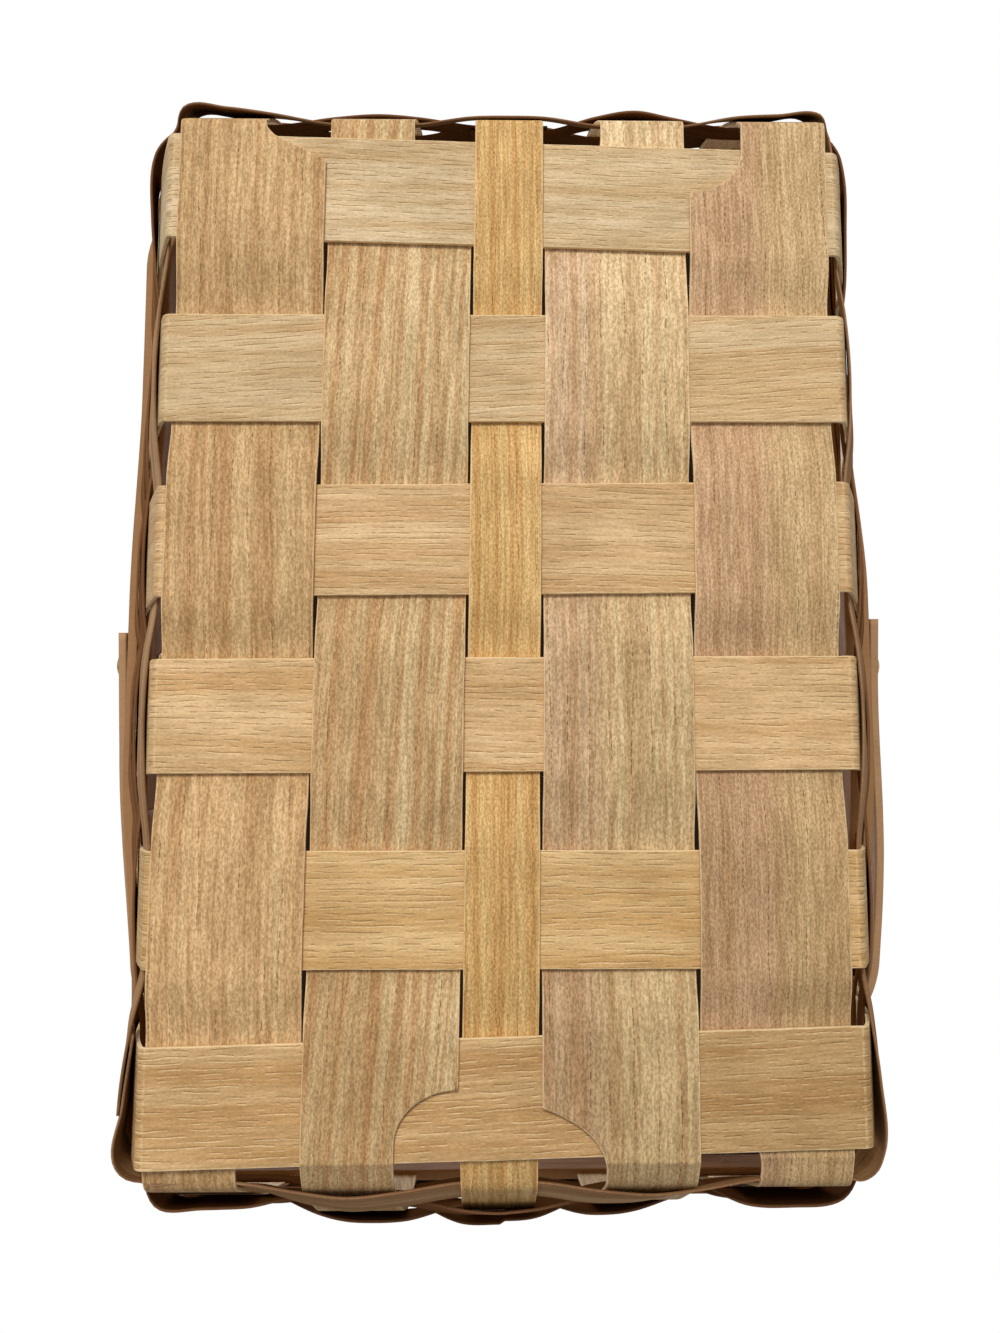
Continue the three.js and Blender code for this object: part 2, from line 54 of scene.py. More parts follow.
UP = np.array([0.0, 0.0, 1.0])
SHARP_ANGLE = math.radians(50)
KEPT_ATTRIBUTES = ("position", "grain", "edge", "bend", "lift", "sharp_face", "material_index")
Socket = bpy.types.NodeSocket
Tone = tuple[int, int, int]


def srgb(red: int, green: int, blue: int) -> tuple[float, float, float, float]:
    """Turns a screen colour into the linear colour that a node socket takes.

    Args:
        red: Red, 0 to 255.
        green: Green, 0 to 255.
        blue: Blue, 0 to 255.

    Returns:
        The linear colour with an alpha of 1.
    """
    def linear(value: int) -> float:
        """Undoes the screen curve of one channel."""
        share = value / 255
        return share / 12.92 if share <= 0.04045 else ((share + 0.055) / 1.055) ** 2.4

    return linear(red), linear(green), linear(blue), 1.0


def ease(share: np.ndarray) -> np.ndarray:
    """Returns a smooth step for shares from 0 to 1."""
    clipped = np.clip(share, 0.0, 1.0)
    return clipped * clipped * (3 - 2 * clipped)


def unit(vectors: np.ndarray) -> np.ndarray:
    """Returns the vectors with a length of 1."""
    return vectors / np.linalg.norm(vectors, axis=-1, keepdims=True)


def drift_curve(rng: np.random.Generator, run: np.ndarray, spacing: float) -> np.ndarray:
    """Draws a smooth random curve along a strip.

    Args:
        rng: Seeded source of the curve's knots.
        run: Distances along the strip.
        spacing: Distance between the knots.

    Returns:
        A value of about -1 to 1 at each distance.
    """
    low, high = float(run.min()), float(run.max())
    count = max(4, int((high - low) / spacing) + 2)
    knots = rng.uniform(-1, 1, count)
    place = (run - low) / (high - low) * (count - 1)
    before = np.clip(np.floor(place).astype(int), 0, count - 2)
    return knots[before] + ease(place - before) * (knots[before + 1] - knots[before])


def add_object(name: str, data: bpy.types.ID) -> bpy.types.Object:
    """Returns a new object that holds the data, linked to the scene."""
    obj = bpy.data.objects.new(name, data)
    bpy.context.collection.objects.link(obj)
    return obj


def store(mesh: bpy.types.Mesh, key: str, values: np.ndarray) -> None:
    """Stores an attribute of numbers or of vectors on a mesh's points."""
    table = np.ascontiguousarray(values, dtype=np.float32)
    kind, part = ("FLOAT_VECTOR", "vector") if table.ndim == 2 else ("FLOAT", "value")
    mesh.attributes.new(key, kind, "POINT").data.foreach_set(part, table.ravel())


class Side(Enum):
    """The face of the wall that a band or a weaver passes on."""

    OUTSIDE = 1
    INSIDE = -1


class CutStyle(Enum):
    """How a wide splint's inner edge steps in where it becomes an upright."""

    CHAMFER = "chamfer"
    ARC = "arc"
    OGEE = "ogee"

    def narrowing(self, share: np.ndarray) -> np.ndarray:
        """Returns the share of the narrowing that is done after a share of the cut's run."""
        clipped = np.clip(share, 0.0, 1.0)
        if self is CutStyle.CHAMFER:
            return np.interp(clipped, (0, 0.48, 0.62, 0.8, 1), (0, 0.69, 0.86, 0.97, 1))
        if self is CutStyle.ARC:
            return np.sqrt(1 - (1 - clipped) ** 2)
        return (1 - (1 - clipped) ** 2.8) * ease(clipped / 0.12 + 0.35)


@dataclass(frozen=True)
class Cut:
    """One cut, in shares of the wide splint's width, from the base's edge inwards."""

    style: CutStyle
    start_share: float
    run_share: float


@dataclass(frozen=True)
class Place:
    """A point of the wall's profile."""

    height: float
    out: float
    slope: float


@dataclass(frozen=True)
class Wall:
    """Profile of a side or an end of the basket.

    Attributes:
        start: Slope at the foot, as run over rise.
        wall: Slope further up.
        rim: Slope at the rim.
        reach: Distance from the base's edge to the foot of the wall's line.
        fade: Height over which the slope changes.
        half_base: Distance from the middle to the base's edge.
        toe: Height up to which a splint rises in a soft curve from the base's edge, or 0 for a
            plain bend at the foot.
        crease_share: How soft the crease below that curve is, against the curve's own turn.
    """

    start: float
    wall: float
    rim: float
    reach: float
    fade: float
    half_base: float
    toe: float = 0.0
    crease_share: float = 0.12
    height: float = 131 * MM
    rim_height: float = 25 * MM
    knee: float = 8 * MM
    straight_foot: float = 9 * MM
    steps: int = 524

    @property
    def foot(self) -> float:
        """Distance out at which the wall's line starts."""
        return self.half_base + self.reach

    def slope(self, heights: np.ndarray) -> np.ndarray:
        """Returns the outward slope, as run over rise, at each height."""
        fade = np.clip((heights - self.straight_foot) / self.fade, 0, 1)
        knee = ease((heights - self.height + self.rim_height + self.knee) / self.knee)
        lower = self.wall + (self.start - self.wall) * (1 - fade) ** 2
        return lower + (self.rim - lower) * knee

    def table(self) -> tuple[np.ndarray, np.ndarray, np.ndarray]:
        """Returns heights, leans and lengths along the slope."""
        heights = np.linspace(0, self.height, self.steps + 1)
        rise = heights[1]
        slopes = self.slope(heights[:-1] + rise / 2)
        lean = np.concatenate([[0], np.cumsum(slopes * rise)])
        length = np.concatenate([[0], np.cumsum(np.hypot(1, slopes) * rise)])
        return heights, lean, length

    def at_height(self, height: float) -> Place:
        """Returns the wall's place at a height."""
        heights, lean, _ = self.table()
        out = self.foot + float(np.interp(height, heights, lean))
        return Place(height, out, float(self.slope(np.array(height))))

    def at_length(self, length: float) -> Place:
        """Returns the wall's place at a length along its slope."""
        heights, _, lengths = self.table()
        return self.at_height(float(np.interp(length, lengths, heights)))


@dataclass(frozen=True)
class SplintPlan:
    """Widths and places of the splints of the base."""

    thickness: float = 1.5 * MM
    clearance: float = 0.3 * MM
    wide: float = 49.5 * MM
    narrow: float = 25 * MM
    cross: float = 38.5 * MM
    upright: float = 30 * MM
    lengthwise_gap: float = 1 * MM
    cross_gap: float = 22 * MM
    cross_gap_shares: tuple[float, ...] = (1.16, 1, 1, 1.2, 1)
    cross_drift_shares: tuple[float, ...] = (-0.15, 0.01, 0.05, 0.03, 0, 0.15)
    cross_shifts: tuple[float, ...] = (-0.2 * MM, 0, 0, 0.4 * MM, 0.8 * MM, 1.4 * MM)
    front_borders: tuple[float, ...] = (-114.7, -62.9, -11.3, 13.9, 64.8, 114.1)
    back_borders: tuple[float, ...] = (-117.0, -66.0, -14.5, 11.5, 63.4, 113.4)
    front_x: float = 121 * MM
    back_x: float = -127 * MM
    crossing_margin: float = 1 * MM
    bend_radius: float = 3 * MM
    top_inset: float = 1 * MM

    @property
    def rise(self) -> float:
        """Height from one layer of splints to the next."""
        return self.thickness + self.clearance

    @property
    def lengthwise_widths(self) -> list[float]:
        """Widths of the lengthwise splints from -Y to +Y."""
        return [self.wide, self.wide, self.narrow, self.wide, self.wide]

    @property
    def base_width(self) -> float:
        """Width of the base."""
        widths = self.lengthwise_widths
        return sum(widths) + self.lengthwise_gap * (len(widths) - 1)

    @property
    def base_length(self) -> float:
        """Length of the base."""
        return len(self.cross_drift_shares) * self.cross + self.cross_gap * sum(self.cross_gap_shares)

    def lengthwise_edges(self, index: int, x: np.ndarray | float) -> tuple[np.ndarray, np.ndarray]:
        """Returns the low and high edge of a lengthwise splint, which runs a little askew.

        Args:
            index: The splint's number from -Y.
            x: Places along the basket.

        Returns:
            Its edges at each place.
        """
        along = np.clip(np.asarray(x, dtype=float), -self.base_length / 2, self.base_length / 2)
        share = (along - self.back_x) / (self.front_x - self.back_x)
        edges = []
        for border in (index, index + 1):
            back, front = self.back_borders[border] * MM, self.front_borders[border] * MM
            edges.append(back + (front - back) * share)
        gap = self.lengthwise_gap / 2
        last = len(self.lengthwise_widths) - 1
        return edges[0] + (gap if index > 0 else 0), edges[1] - (gap if index < last else 0)

    def cross_middles(self) -> list[float]:
        """Returns the middle of each cross splint, from +X to -X."""
        middles, high = [], self.base_length / 2
        for index in range(len(self.cross_drift_shares)):
            middles.append(high - self.cross / 2)
            if index < len(self.cross_gap_shares):
                high -= self.cross + self.cross_gap * self.cross_gap_shares[index]
        return [middle + shift for middle, shift in zip(middles, self.cross_shifts)]

    def cross_middle(self, index: int, y: np.ndarray | float) -> np.ndarray:
        """Returns where a cross splint's middle runs at a place across the basket."""
        drift = self.cross_drift_shares[index] * self.cross
        return self.cross_middles()[index] + drift * np.clip(np.asarray(y) / self.base_width, -0.5, 0.5)

    def upright_edges(self, index: int, end: int) -> tuple[float, float]:
        """Returns the edges of a lengthwise splint's upright at the front, 1, or the back, -1."""
        low, high = (float(edge) for edge in self.lengthwise_edges(index, end * self.base_length / 2))
        if high - low <= self.upright:
            return low, high
        return (low, low + self.upright) if low < 0 else (high - self.upright, high)


PLAN = SplintPlan()
SIDE_WALL = Wall(0.42, 0.34, 0.06, 3.5 * MM, 60 * MM, PLAN.base_width / 2)
FRONT_WALL = Wall(0.66, 0.13, 0.06, 6 * MM, 80 * MM, PLAN.base_length / 2)
BACK_WALL = Wall(0.61, 0.07, 0.06, 5.2 * MM, 110 * MM, PLAN.base_length / 2 - 1.4 * MM, 10 * MM)
HIDDEN_CUT = Cut(CutStyle.ARC, 0.3, 0.36)
FRONT_CUTS = {
    0: Cut(CutStyle.CHAMFER, 0.163, 0.31),
    1: HIDDEN_CUT,
    3: HIDDEN_CUT,
    4: Cut(CutStyle.ARC, 0.393, 0.33),
}
BACK_CUTS = {
    0: HIDDEN_CUT,
    1: Cut(CutStyle.ARC, 0.478, 0.345),
    3: Cut(CutStyle.OGEE, 0.365, 0.47),
    4: HIDDEN_CUT,
}


@dataclass(frozen=True)
class Settling:
    """How far the woven wall has moved from its plain profile, as the weavers pull on it.

    Attributes:
        corner_in: How far the back wall is drawn in at its left and its right corner.
        corner_from: Distance from the middle at which that starts, on the left and on the right.
        corner_reach: Distance over which it grows.
        middle_out: How far the back wall's middle bellies out, on the left and on the right.
        side_back: How far the side walls are drawn in at the back.
        side_front: How far they are drawn in at the front, on the left and on the right.
        half_width: Half the width that these side values are measured at.
        back_fade: Where the back's own moves start behind the middle, and over what length.
        top_fade: The height at which they start to fade out, and over what height.
        corner_rise: The height from which the corners are drawn in, and over what height.
        middle_rise: The same for the belly of the back wall.
        front_fade: Where the front's narrowing starts, and over what length.
        rear_fade: Where the back's narrowing starts, and over what length.
        side_rise: The height from which the sides are drawn in, and over what height.
    """

    corner_in: tuple[float, float] = (4.2 * MM, 5.6 * MM)
    corner_from: tuple[float, float] = (52 * MM, 22 * MM)
    corner_reach: float = 45 * MM
    middle_out: tuple[float, float] = (2.0 * MM, 0.8 * MM)
    side_back: float = 6.5 * MM
    side_front: tuple[float, float] = (2.4 * MM, 6.0 * MM)
    half_width: float = 150 * MM
    back_fade: tuple[float, float] = (160 * MM, 20 * MM)
    top_fade: tuple[float, float] = (66 * MM, 44 * MM)
    corner_rise: tuple[float, float] = (2 * MM, 30 * MM)
    middle_rise: tuple[float, float] = (18 * MM, 25 * MM)
    front_fade: tuple[float, float] = (30 * MM, 90 * MM)
    rear_fade: tuple[float, float] = (40 * MM, 105 * MM)
    side_rise: tuple[float, float] = (4 * MM, 66 * MM)

    def move(self, points: np.ndarray) -> np.ndarray:
        """Moves points of the wall.

        Args:
            points: Points of a strip's guide.

        Returns:
            The moved points.
        """
        x, y, z = points.T
        left = y < 0

        def after(value: np.ndarray, fade: tuple[float, float]) -> np.ndarray:
            """Returns a smooth step from 0 to 1 that starts at a value and takes a length."""
            return ease((value - fade[0]) / fade[1])

        near_back = after(-x, self.back_fade) * (1 - after(z, self.top_fade))
        near_corner = ease((np.abs(y) - np.where(left, *self.corner_from)) / self.corner_reach)
        inwards = np.where(left, *self.corner_in) * near_corner * after(z, self.corner_rise)
        outwards = np.where(left, *self.middle_out) * (1 - near_corner) * after(z, self.middle_rise)
        narrow = np.where(left, *self.side_front) * after(x, self.front_fade)
        narrow += self.side_back * after(-x, self.rear_fade)
        moved = points.copy()
        moved[:, 0] += near_back * (inwards - outwards)
        moved[:, 1] *= 1 - narrow * after(z, self.side_rise) / self.half_width
        return moved


SETTLING = Settling()


@dataclass
class Guide:
    """Line that a strip follows, with its two directions and its reaches at each point.

    Attributes:
        centre: Points of the line.
        across: Direction of the strip's width at each point.
        face: Direction of the strip's outer face at each point.
        low: Reach of the strip's low edge along across.
        high: Reach of its high edge.
        thickness: Thickness of the strip.
        inner: Offset of the inner face along face.
        bend: How sharply the strip bends, 0 to 1.
        lift: How freely the strip may warp, 0 to 1.
    """

    centre: np.ndarray
    across: np.ndarray
    face: np.ndarray
    low: np.ndarray | float
    high: np.ndarray | float
    thickness: np.ndarray | float
    inner: np.ndarray | float
    bend: np.ndarray | float
    lift: np.ndarray | float

    def __post_init__(self) -> None:
        """Spreads each value that is the same all along the line over its points."""
        count = len(self.centre)
        for key in ("across", "face"):
            setattr(self, key, np.broadcast_to(getattr(self, key), (count, 3)))
        for key in ("low", "high", "thickness", "inner", "bend", "lift"):
            setattr(self, key, np.broadcast_to(getattr(self, key), count))

    @property
    def run(self) -> np.ndarray:
        """Length along the line, zero at its middle."""
        steps = np.linalg.norm(np.diff(self.centre, axis=0), axis=1)
        run = np.concatenate([[0], np.cumsum(steps)])
        return run - run[-1] / 2

    def to_object(self, name: str) -> bpy.types.Object:
        """Makes a line of points that carries the guide as attributes.

        Args:
            name: Name of the object.

        Returns:
            The object, linked to the scene.
        """
        mesh = bpy.data.meshes.new(name)
        count = len(self.centre)
        mesh.from_pydata([tuple(point) for point in self.centre], [(i, i + 1) for i in range(count - 1)], [])
        for key in ("across", "face", "low", "high", "thickness", "inner", "bend", "lift", "run"):
            store(mesh, key, getattr(self, key))
        return add_object(name, mesh)


@dataclass(frozen=True)
class Section:
    """Rounded cross-section of a strip.

    Attributes:
        columns: Faces across each flat side.
        rounding: Radius of the four edges.
        edge_steps: Faces round each edge.
    """

    columns: int = 20
    rounding: float = 0.35 * MM
    edge_steps: int = 3

    def to_object(self, name: str) -> bpy.types.Object:
        """Makes the closed loop of the section, with its places as attributes.

        Args:
            name: Name of the object.

        Returns:
            The object, which holds shares of the width and the thickness and insets from them.
        """
        rows: list[tuple[float, float, float, float]] = []
        steps = range(1, self.edge_steps)
        for end in (1.0, 0.0):
            shares = [abs(1 - end - step / self.columns) for step in range(self.columns + 1)]
            rows += [(share, self.rounding * (1 - 2 * share), end, 0.0) for share in shares]
            rows += [self._round(end, end, step) for step in steps]
            rows += [(end, 0.0, level, self.rounding * (1 - 2 * level)) for level in (end, 1 - end)]
            rows += [self._round(end, 1 - end, self.edge_steps - step) for step in steps]
        mesh = bpy.data.meshes.new(name)
        points = [(share + inset, level + rise, 0.0) for share, inset, level, rise in rows]
        mesh.from_pydata(points, [(i, (i + 1) % len(rows)) for i in range(len(rows))], [])
        for key, values in zip(("share", "inset", "level", "rise"), np.array(rows).T):
            store(mesh, key, values)
        return add_object(name, mesh)

    def _round(self, share: float, level: float, step: int) -> tuple[float, float, float, float]:
        """Returns one point of a rounded edge, counted from the flat side towards the narrow one."""
        angle = math.pi / 2 * step / self.edge_steps
        inward = 1 if share == 0 else -1
        down = -1 if level == 1 else 1
        inset = inward * self.rounding * (1 - math.sin(angle))
        return share, inset, level, down * self.rounding * (1 - math.cos(angle))


class Graph:
    """Adds nodes to one tree and joins them."""

    def __init__(self, tree: bpy.types.NodeTree) -> None:
        """Keeps the tree."""
        self.tree = tree

    def add(self, kind: str, **settings: object) -> bpy.types.Node:
        """Adds a node and sets its own properties.

        Args:
            kind: The node's type.
            **settings: Values of the node's properties.

        Returns:
            The node.
        """
        node = self.tree.nodes.new(kind)
        for key, value in settings.items():
            setattr(node, key, value)
        return node

    def feed(self, socket: Socket, value: object) -> None:
        """Links a socket to another one, or gives it a plain value."""
        if isinstance(value, Socket):
            self.tree.links.new(value, socket)
        else:
            socket.default_value = value

    def wire(self, kind: str, inputs: dict[str | int, object], **settings: object) -> bpy.types.Node:
        """Adds a node, sets its properties and feeds its inputs.

        Args:
            kind: The node's type.
            inputs: Value or socket for each input, by the input's name or number.
            **settings: Values of the node's properties.

        Returns:
            The node.
        """
        node = self.add(kind, **settings)
        for key, value in inputs.items():
            self.feed(node.inputs[key], value)
        return node

    def math(self, operation: str, *values: object) -> Socket:
        """Returns the result of a math node on plain values or sockets."""
        node = self.add("ShaderNodeMath", operation=operation)
        for socket, value in zip(node.inputs, values):
            self.feed(socket, value)
        return node.outputs[0]

    def times(self, first: object, second: object) -> Socket:
        """Returns the product of two values."""
        return self.math("MULTIPLY", first, second)

    def vector(self, operation: str, *values: object) -> Socket:
        """Returns the result of a vector math node, with a scale as the last value where it has one."""
        node = self.add("ShaderNodeVectorMath", operation=operation)
        sockets = [node.inputs[0], node.inputs["Scale"]] if operation == "SCALE" else node.inputs
        for socket, value in zip(sockets, values):
            self.feed(socket, value)
        return node.outputs[0]

    def combine(self, x: object, y: object, z: object) -> Socket:
        """Returns a vector of three values."""
        node = self.add("ShaderNodeCombineXYZ")
        for socket, value in zip(node.inputs, (x, y, z)):
            self.feed(socket, value)
        return node.outputs[0]

    def noise(self, vector: object, scale: object, detail: float = 2.0) -> Socket:
        """Returns the value of a noise texture."""
        inputs = {"Vector": vector, "Scale": scale, "Detail": detail}
        return self.wire("ShaderNodeTexNoise", inputs).outputs[0]

    def span(self, value: object, low: float, high: float, to_low: float = 0.0,
             to_high: float = 1.0) -> Socket:
        """Returns the value taken smoothly from one span to another, and held at its ends.

        Args:
            value: The value.
            low: Start of the span.
            high: End of the span.
            to_low: Result at the start.
            to_high: Result at the end.

        Returns:
            The result's socket.
        """
        node = self.add("ShaderNodeMapRange", interpolation_type="SMOOTHSTEP")
        for socket, item in zip(node.inputs, (value, low, high, to_low, to_high)):
            self.feed(socket, item)
        return node.outputs[0]

    def blend(self, factor: object, first: object, second: object,
              mode: str = "MIX") -> Socket:
        """Returns two colours blended by a factor."""
        inputs = {0: factor, 6: first, 7: second}
        return self.wire("ShaderNodeMix", inputs, data_type="RGBA", blend_type=mode).outputs[2]

    def bump(self, strength: float, distance: float, height: Socket) -> Socket:
        """Returns the normal of a surface with a raised figure."""
        inputs = {"Strength": strength, "Distance": distance, "Height": height}
        return self.wire("ShaderNodeBump", inputs).outputs[0]

    def read(self, name: str, kind: str = "FLOAT") -> Socket:
        """Returns the value of a named attribute, in a geometry tree."""
        node = self.wire("GeometryNodeInputNamedAttribute", {"Name": name}, data_type=kind)
        return next(socket for socket in node.outputs if socket.enabled)

    def keep(self, geometry: Socket, name: str, value: object, kind: str = "FLOAT") -> Socket:
        """Stores a named attribute on points, in a geometry tree.

        Args:
            geometry: The geometry that gets it.
            name: Its name.
            value: Its value.
            kind: Its data type.

        Returns:
            The geometry.
        """
        inputs = {"Geometry": geometry, "Name": name}
        node = self.wire("GeometryNodeStoreNamedAttribute", inputs, data_type=kind, domain="POINT")
        self.feed(next(s for s in node.inputs if s.name == "Value" and s.enabled), value)
        return node.outputs[0]


def evaluated_copy(source: bpy.types.Object, name: str) -> bpy.types.Object:
    """Turns an object's modifiers into a plain mesh object.

    Args:
        source: The object with live modifiers, which is removed.
        name: Name of the result.

    Returns:
        The plain object at the origin.
    """
    graph = bpy.context.evaluated_depsgraph_get()
    mesh = bpy.data.meshes.new_from_object(source.evaluated_get(graph), depsgraph=graph)
    mesh.name = name
    obj = add_object(name, mesh)
    bpy.data.objects.remove(source)
    work = bmesh.new()
    work.from_mesh(mesh)
    bmesh.ops.recalc_face_normals(work, faces=work.faces)
    work.to_mesh(mesh)
    work.free()
    mesh.shade_smooth()
    return obj


@dataclass(frozen=True)
class Warp:
    """How far a strip departs from its guide."""

    height: float
    length: float
    edge: float
    seed: float


class PieceTree:
    """Geometry Nodes tree with named inputs that ends in real geometry with a material."""

    NAME: str
    INPUTS: tuple[tuple[str, str, object], ...]

    def __init__(self) -> None:
        """Makes the inputs and the output, and the nodes between them."""
        self.tree = bpy.data.node_groups.new(self.NAME, "GeometryNodeTree")
        face = self.tree.interface
        face.new_socket("Geometry", in_out="INPUT", socket_type="NodeSocketGeometry")
        for name, kind, value in self.INPUTS:
            socket = face.new_socket(name, in_out="INPUT", socket_type=kind)
            if value is not None:
                socket.default_value = value
        face.new_socket("Geometry", in_out="OUTPUT", socket_type="NodeSocketGeometry")
        graph = Graph(self.tree)
        source = graph.add("NodeGroupInput")
        real = graph.wire("GeometryNodeRealizeInstances", {0: self._build(graph, source)})
        dressed = graph.wire("GeometryNodeSetMaterial", {
            "Geometry": real.outputs[0], "Material": source.outputs["Material"]})
        graph.wire("NodeGroupOutput", {"Geometry": dressed.outputs[0]})

    def _build(self, graph: Graph, source: bpy.types.Node) -> Socket:
        """Adds the tree's own nodes after its input node and returns their geometry."""
        raise NotImplementedError

    def _bake(self, source: bpy.types.Object, name: str, values: dict[str, object]) -> bpy.types.Object:
        """Runs the tree on an object and turns the result into a plain piece.

        Args:
            source: The object, which is removed.
            name: Name of the piece.
            values: Value of each input that isn't left as it is, by the input's name.

        Returns:
            The plain piece.
        """
        modifier = source.modifiers.new("tree", "NODES")
        modifier.node_group = self.tree
        for item in self.tree.interface.items_tree:
            if item.in_out == "INPUT" and item.name in values:
                modifier[item.identifier] = values[item.name]
        return evaluated_copy(source, name)


class StripTree(PieceTree):
    """Sweeps a section along a guide and warps it a little, as wood does."""

    NAME = "strip_along_guide"
    INPUTS = (
        ("Section", "NodeSocketObject", None),
        ("Warp Height", "NodeSocketFloat", 0.1 * MM),
        ("Warp Length", "NodeSocketFloat", 60 * MM),
        ("Edge Wander", "NodeSocketFloat", 0.15 * MM),
        ("Seed", "NodeSocketFloat", 0.0),
        ("Material", "NodeSocketMaterial", None),
    )

    def _build(self, graph: Graph, source: bpy.types.Node) -> Socket:
        """Adds the sweep, its warp and the attributes that the wood reads."""
        given, vector = source.outputs, "FLOAT_VECTOR"
        place = graph.add("GeometryNodeInputPosition").outputs[0]
        rail = graph.keep(given["Geometry"], "rail", place, vector)
        line = graph.wire("GeometryNodeMeshToCurve", {0: rail})
        shape = graph.wire("GeometryNodeObjectInfo", {"Object": given["Section"]})
        loop = graph.wire("GeometryNodeMeshToCurve", {0: shape.outputs["Geometry"]})
        sweep = graph.wire("GeometryNodeCurveToMesh", {
            "Curve": line.outputs[0], "Profile Curve": loop.outputs[0], "Fill Caps": True})

        low, high, share, inset, run, lift, level, thickness, inner, rise = (graph.read(key) for key in (
            "low", "high", "share", "inset", "run", "lift", "level", "thickness", "inner", "rise"))
        width = graph.math("SUBTRACT", high, low)
        flat = graph.math("ADD", graph.math("MULTIPLY_ADD", share, width, low), inset)
        along = graph.math("DIVIDE", run, given["Warp Length"])
        sideways = graph.math("DIVIDE", flat, given["Warp Length"])
        wave = graph.noise(graph.combine(along, sideways, given["Seed"]), 1.0)
        warp = graph.times(graph.times(graph.math("SUBTRACT", wave, 0.5), 2.0),
                           graph.times(given["Warp Height"], lift))
        ragged = graph.noise(graph.combine(graph.times(run, 60.0), share, given["Seed"]), 1.0)
        outward = graph.math("SUBTRACT", share, 0.5)
        wander = graph.times(graph.times(graph.math("SUBTRACT", ragged, 0.5), outward),
                             graph.times(given["Edge Wander"], 4.0))
        reach = graph.math("ADD", flat, wander)
        depth = graph.math("ADD", graph.math("MULTIPLY_ADD", level, thickness, inner), rise)
        sidestep = graph.vector("SCALE", graph.read("across", vector), reach)
        forward = graph.vector("SCALE", graph.read("face", vector), graph.math("ADD", depth, warp))
        place = graph.vector("ADD", graph.read("rail", vector), graph.vector("ADD", sidestep, forward))
        grain = graph.keep(sweep.outputs[0], "grain", graph.combine(run, flat, depth), vector)
        from_edge = graph.math("MINIMUM", graph.math("SUBTRACT", flat, low),
                               graph.math("SUBTRACT", high, flat))
        moved = graph.wire("GeometryNodeSetPosition", {
            "Geometry": graph.keep(grain, "edge", from_edge), "Position": place})
        return moved.outputs[0]

    def make(self, name: str, guide: Guide, section: Section, material: bpy.types.Material,
             warp: Warp) -> bpy.types.Object:
        """Sweeps one strip and bakes it to a plain mesh.

        Args:
            name: Name of the piece.
            guide: The line to follow.
            section: The strip's section.
            material: Its material.
            warp: How far it warps.

        Returns:
            The plain piece.
        """
        source = guide.to_object(f"{name}_guide")
        loop = section.to_object(f"{name}_section")
        piece = self._bake(source, name, {
            "Section": loop, "Warp Height": warp.height, "Warp Length": warp.length,
            "Edge Wander": warp.edge, "Seed": warp.seed, "Material": material})
        bpy.data.objects.remove(loop)
        for layer in list(piece.data.attributes):
            if layer.name not in KEPT_ATTRIBUTES and not layer.is_internal and not layer.is_required:
                piece.data.attributes.remove(layer)
        return piece


@dataclass(frozen=True)
class WoodFinish:
    """Tones and figure of one strip of wood.

    Attributes:
        left: Tone at the strip's low edge.
        right: Tone at its high edge.
        streak: Tone of the broad streaks.
        dark: Tone of the ring lines and pores.
        light: Tone of the painted highlights beside the lines, of the band along the edges and of the pale
            broken fibres along a bend.
        split: Place across the strip where the tone changes.
        streak_share: Strength of the broad streaks.
        streak_rate: Number of the streaks to a metre.
        line_share: Strength of the flecks or ring lines.
        painted_highlight_share: Strength of the painted highlights beside them.
        fibre_share: Strength of the fine fibres.
        speckle_share: Strength of the pores.
        line_spacing: Distance between the flecks or ring lines.
        dash: Length of a dash.
        slant: Slope of the grain against the strip.
        dots: How far a line breaks up into dots, 0 to 1.
        inner_tone_and_shade: Brightness of the inner face against the outer one, partly the wood's tone and
            partly painted shade.
        roughness: Roughness of the planed face.
        gloss: Specular level of the face.
        fade: Brightness at the strip's low end and at its high end, partly the wood's tone and partly painted
            shade.
        relief: Height of the figure.
        crease_share: Strength of the pale broken fibres along a bend.
        seed: Number that sets this strip's figure apart.
    """

    left: Tone
    right: Tone
    streak: Tone
    dark: Tone
    light: Tone
    split: float = 0.0
    streak_share: float = 0.5
    streak_rate: float = 150.0
    line_share: float = 0.5
    painted_highlight_share: float = 0.2
    fibre_share: float = 0.07
    speckle_share: float = 0.1
    line_spacing: float = 1.35 * MM
    dash: float = 5 * MM
    slant: float = 0.0
    dots: float = 0.0
    inner_tone_and_shade: float = 1.0
    roughness: float = 0.66
    gloss: float = 0.08
    fade: tuple[float, float] = (1.0, 1.0)
    relief: float = 0.12 * MM
    crease_share: float = 0.1
    seed: float = 0.0


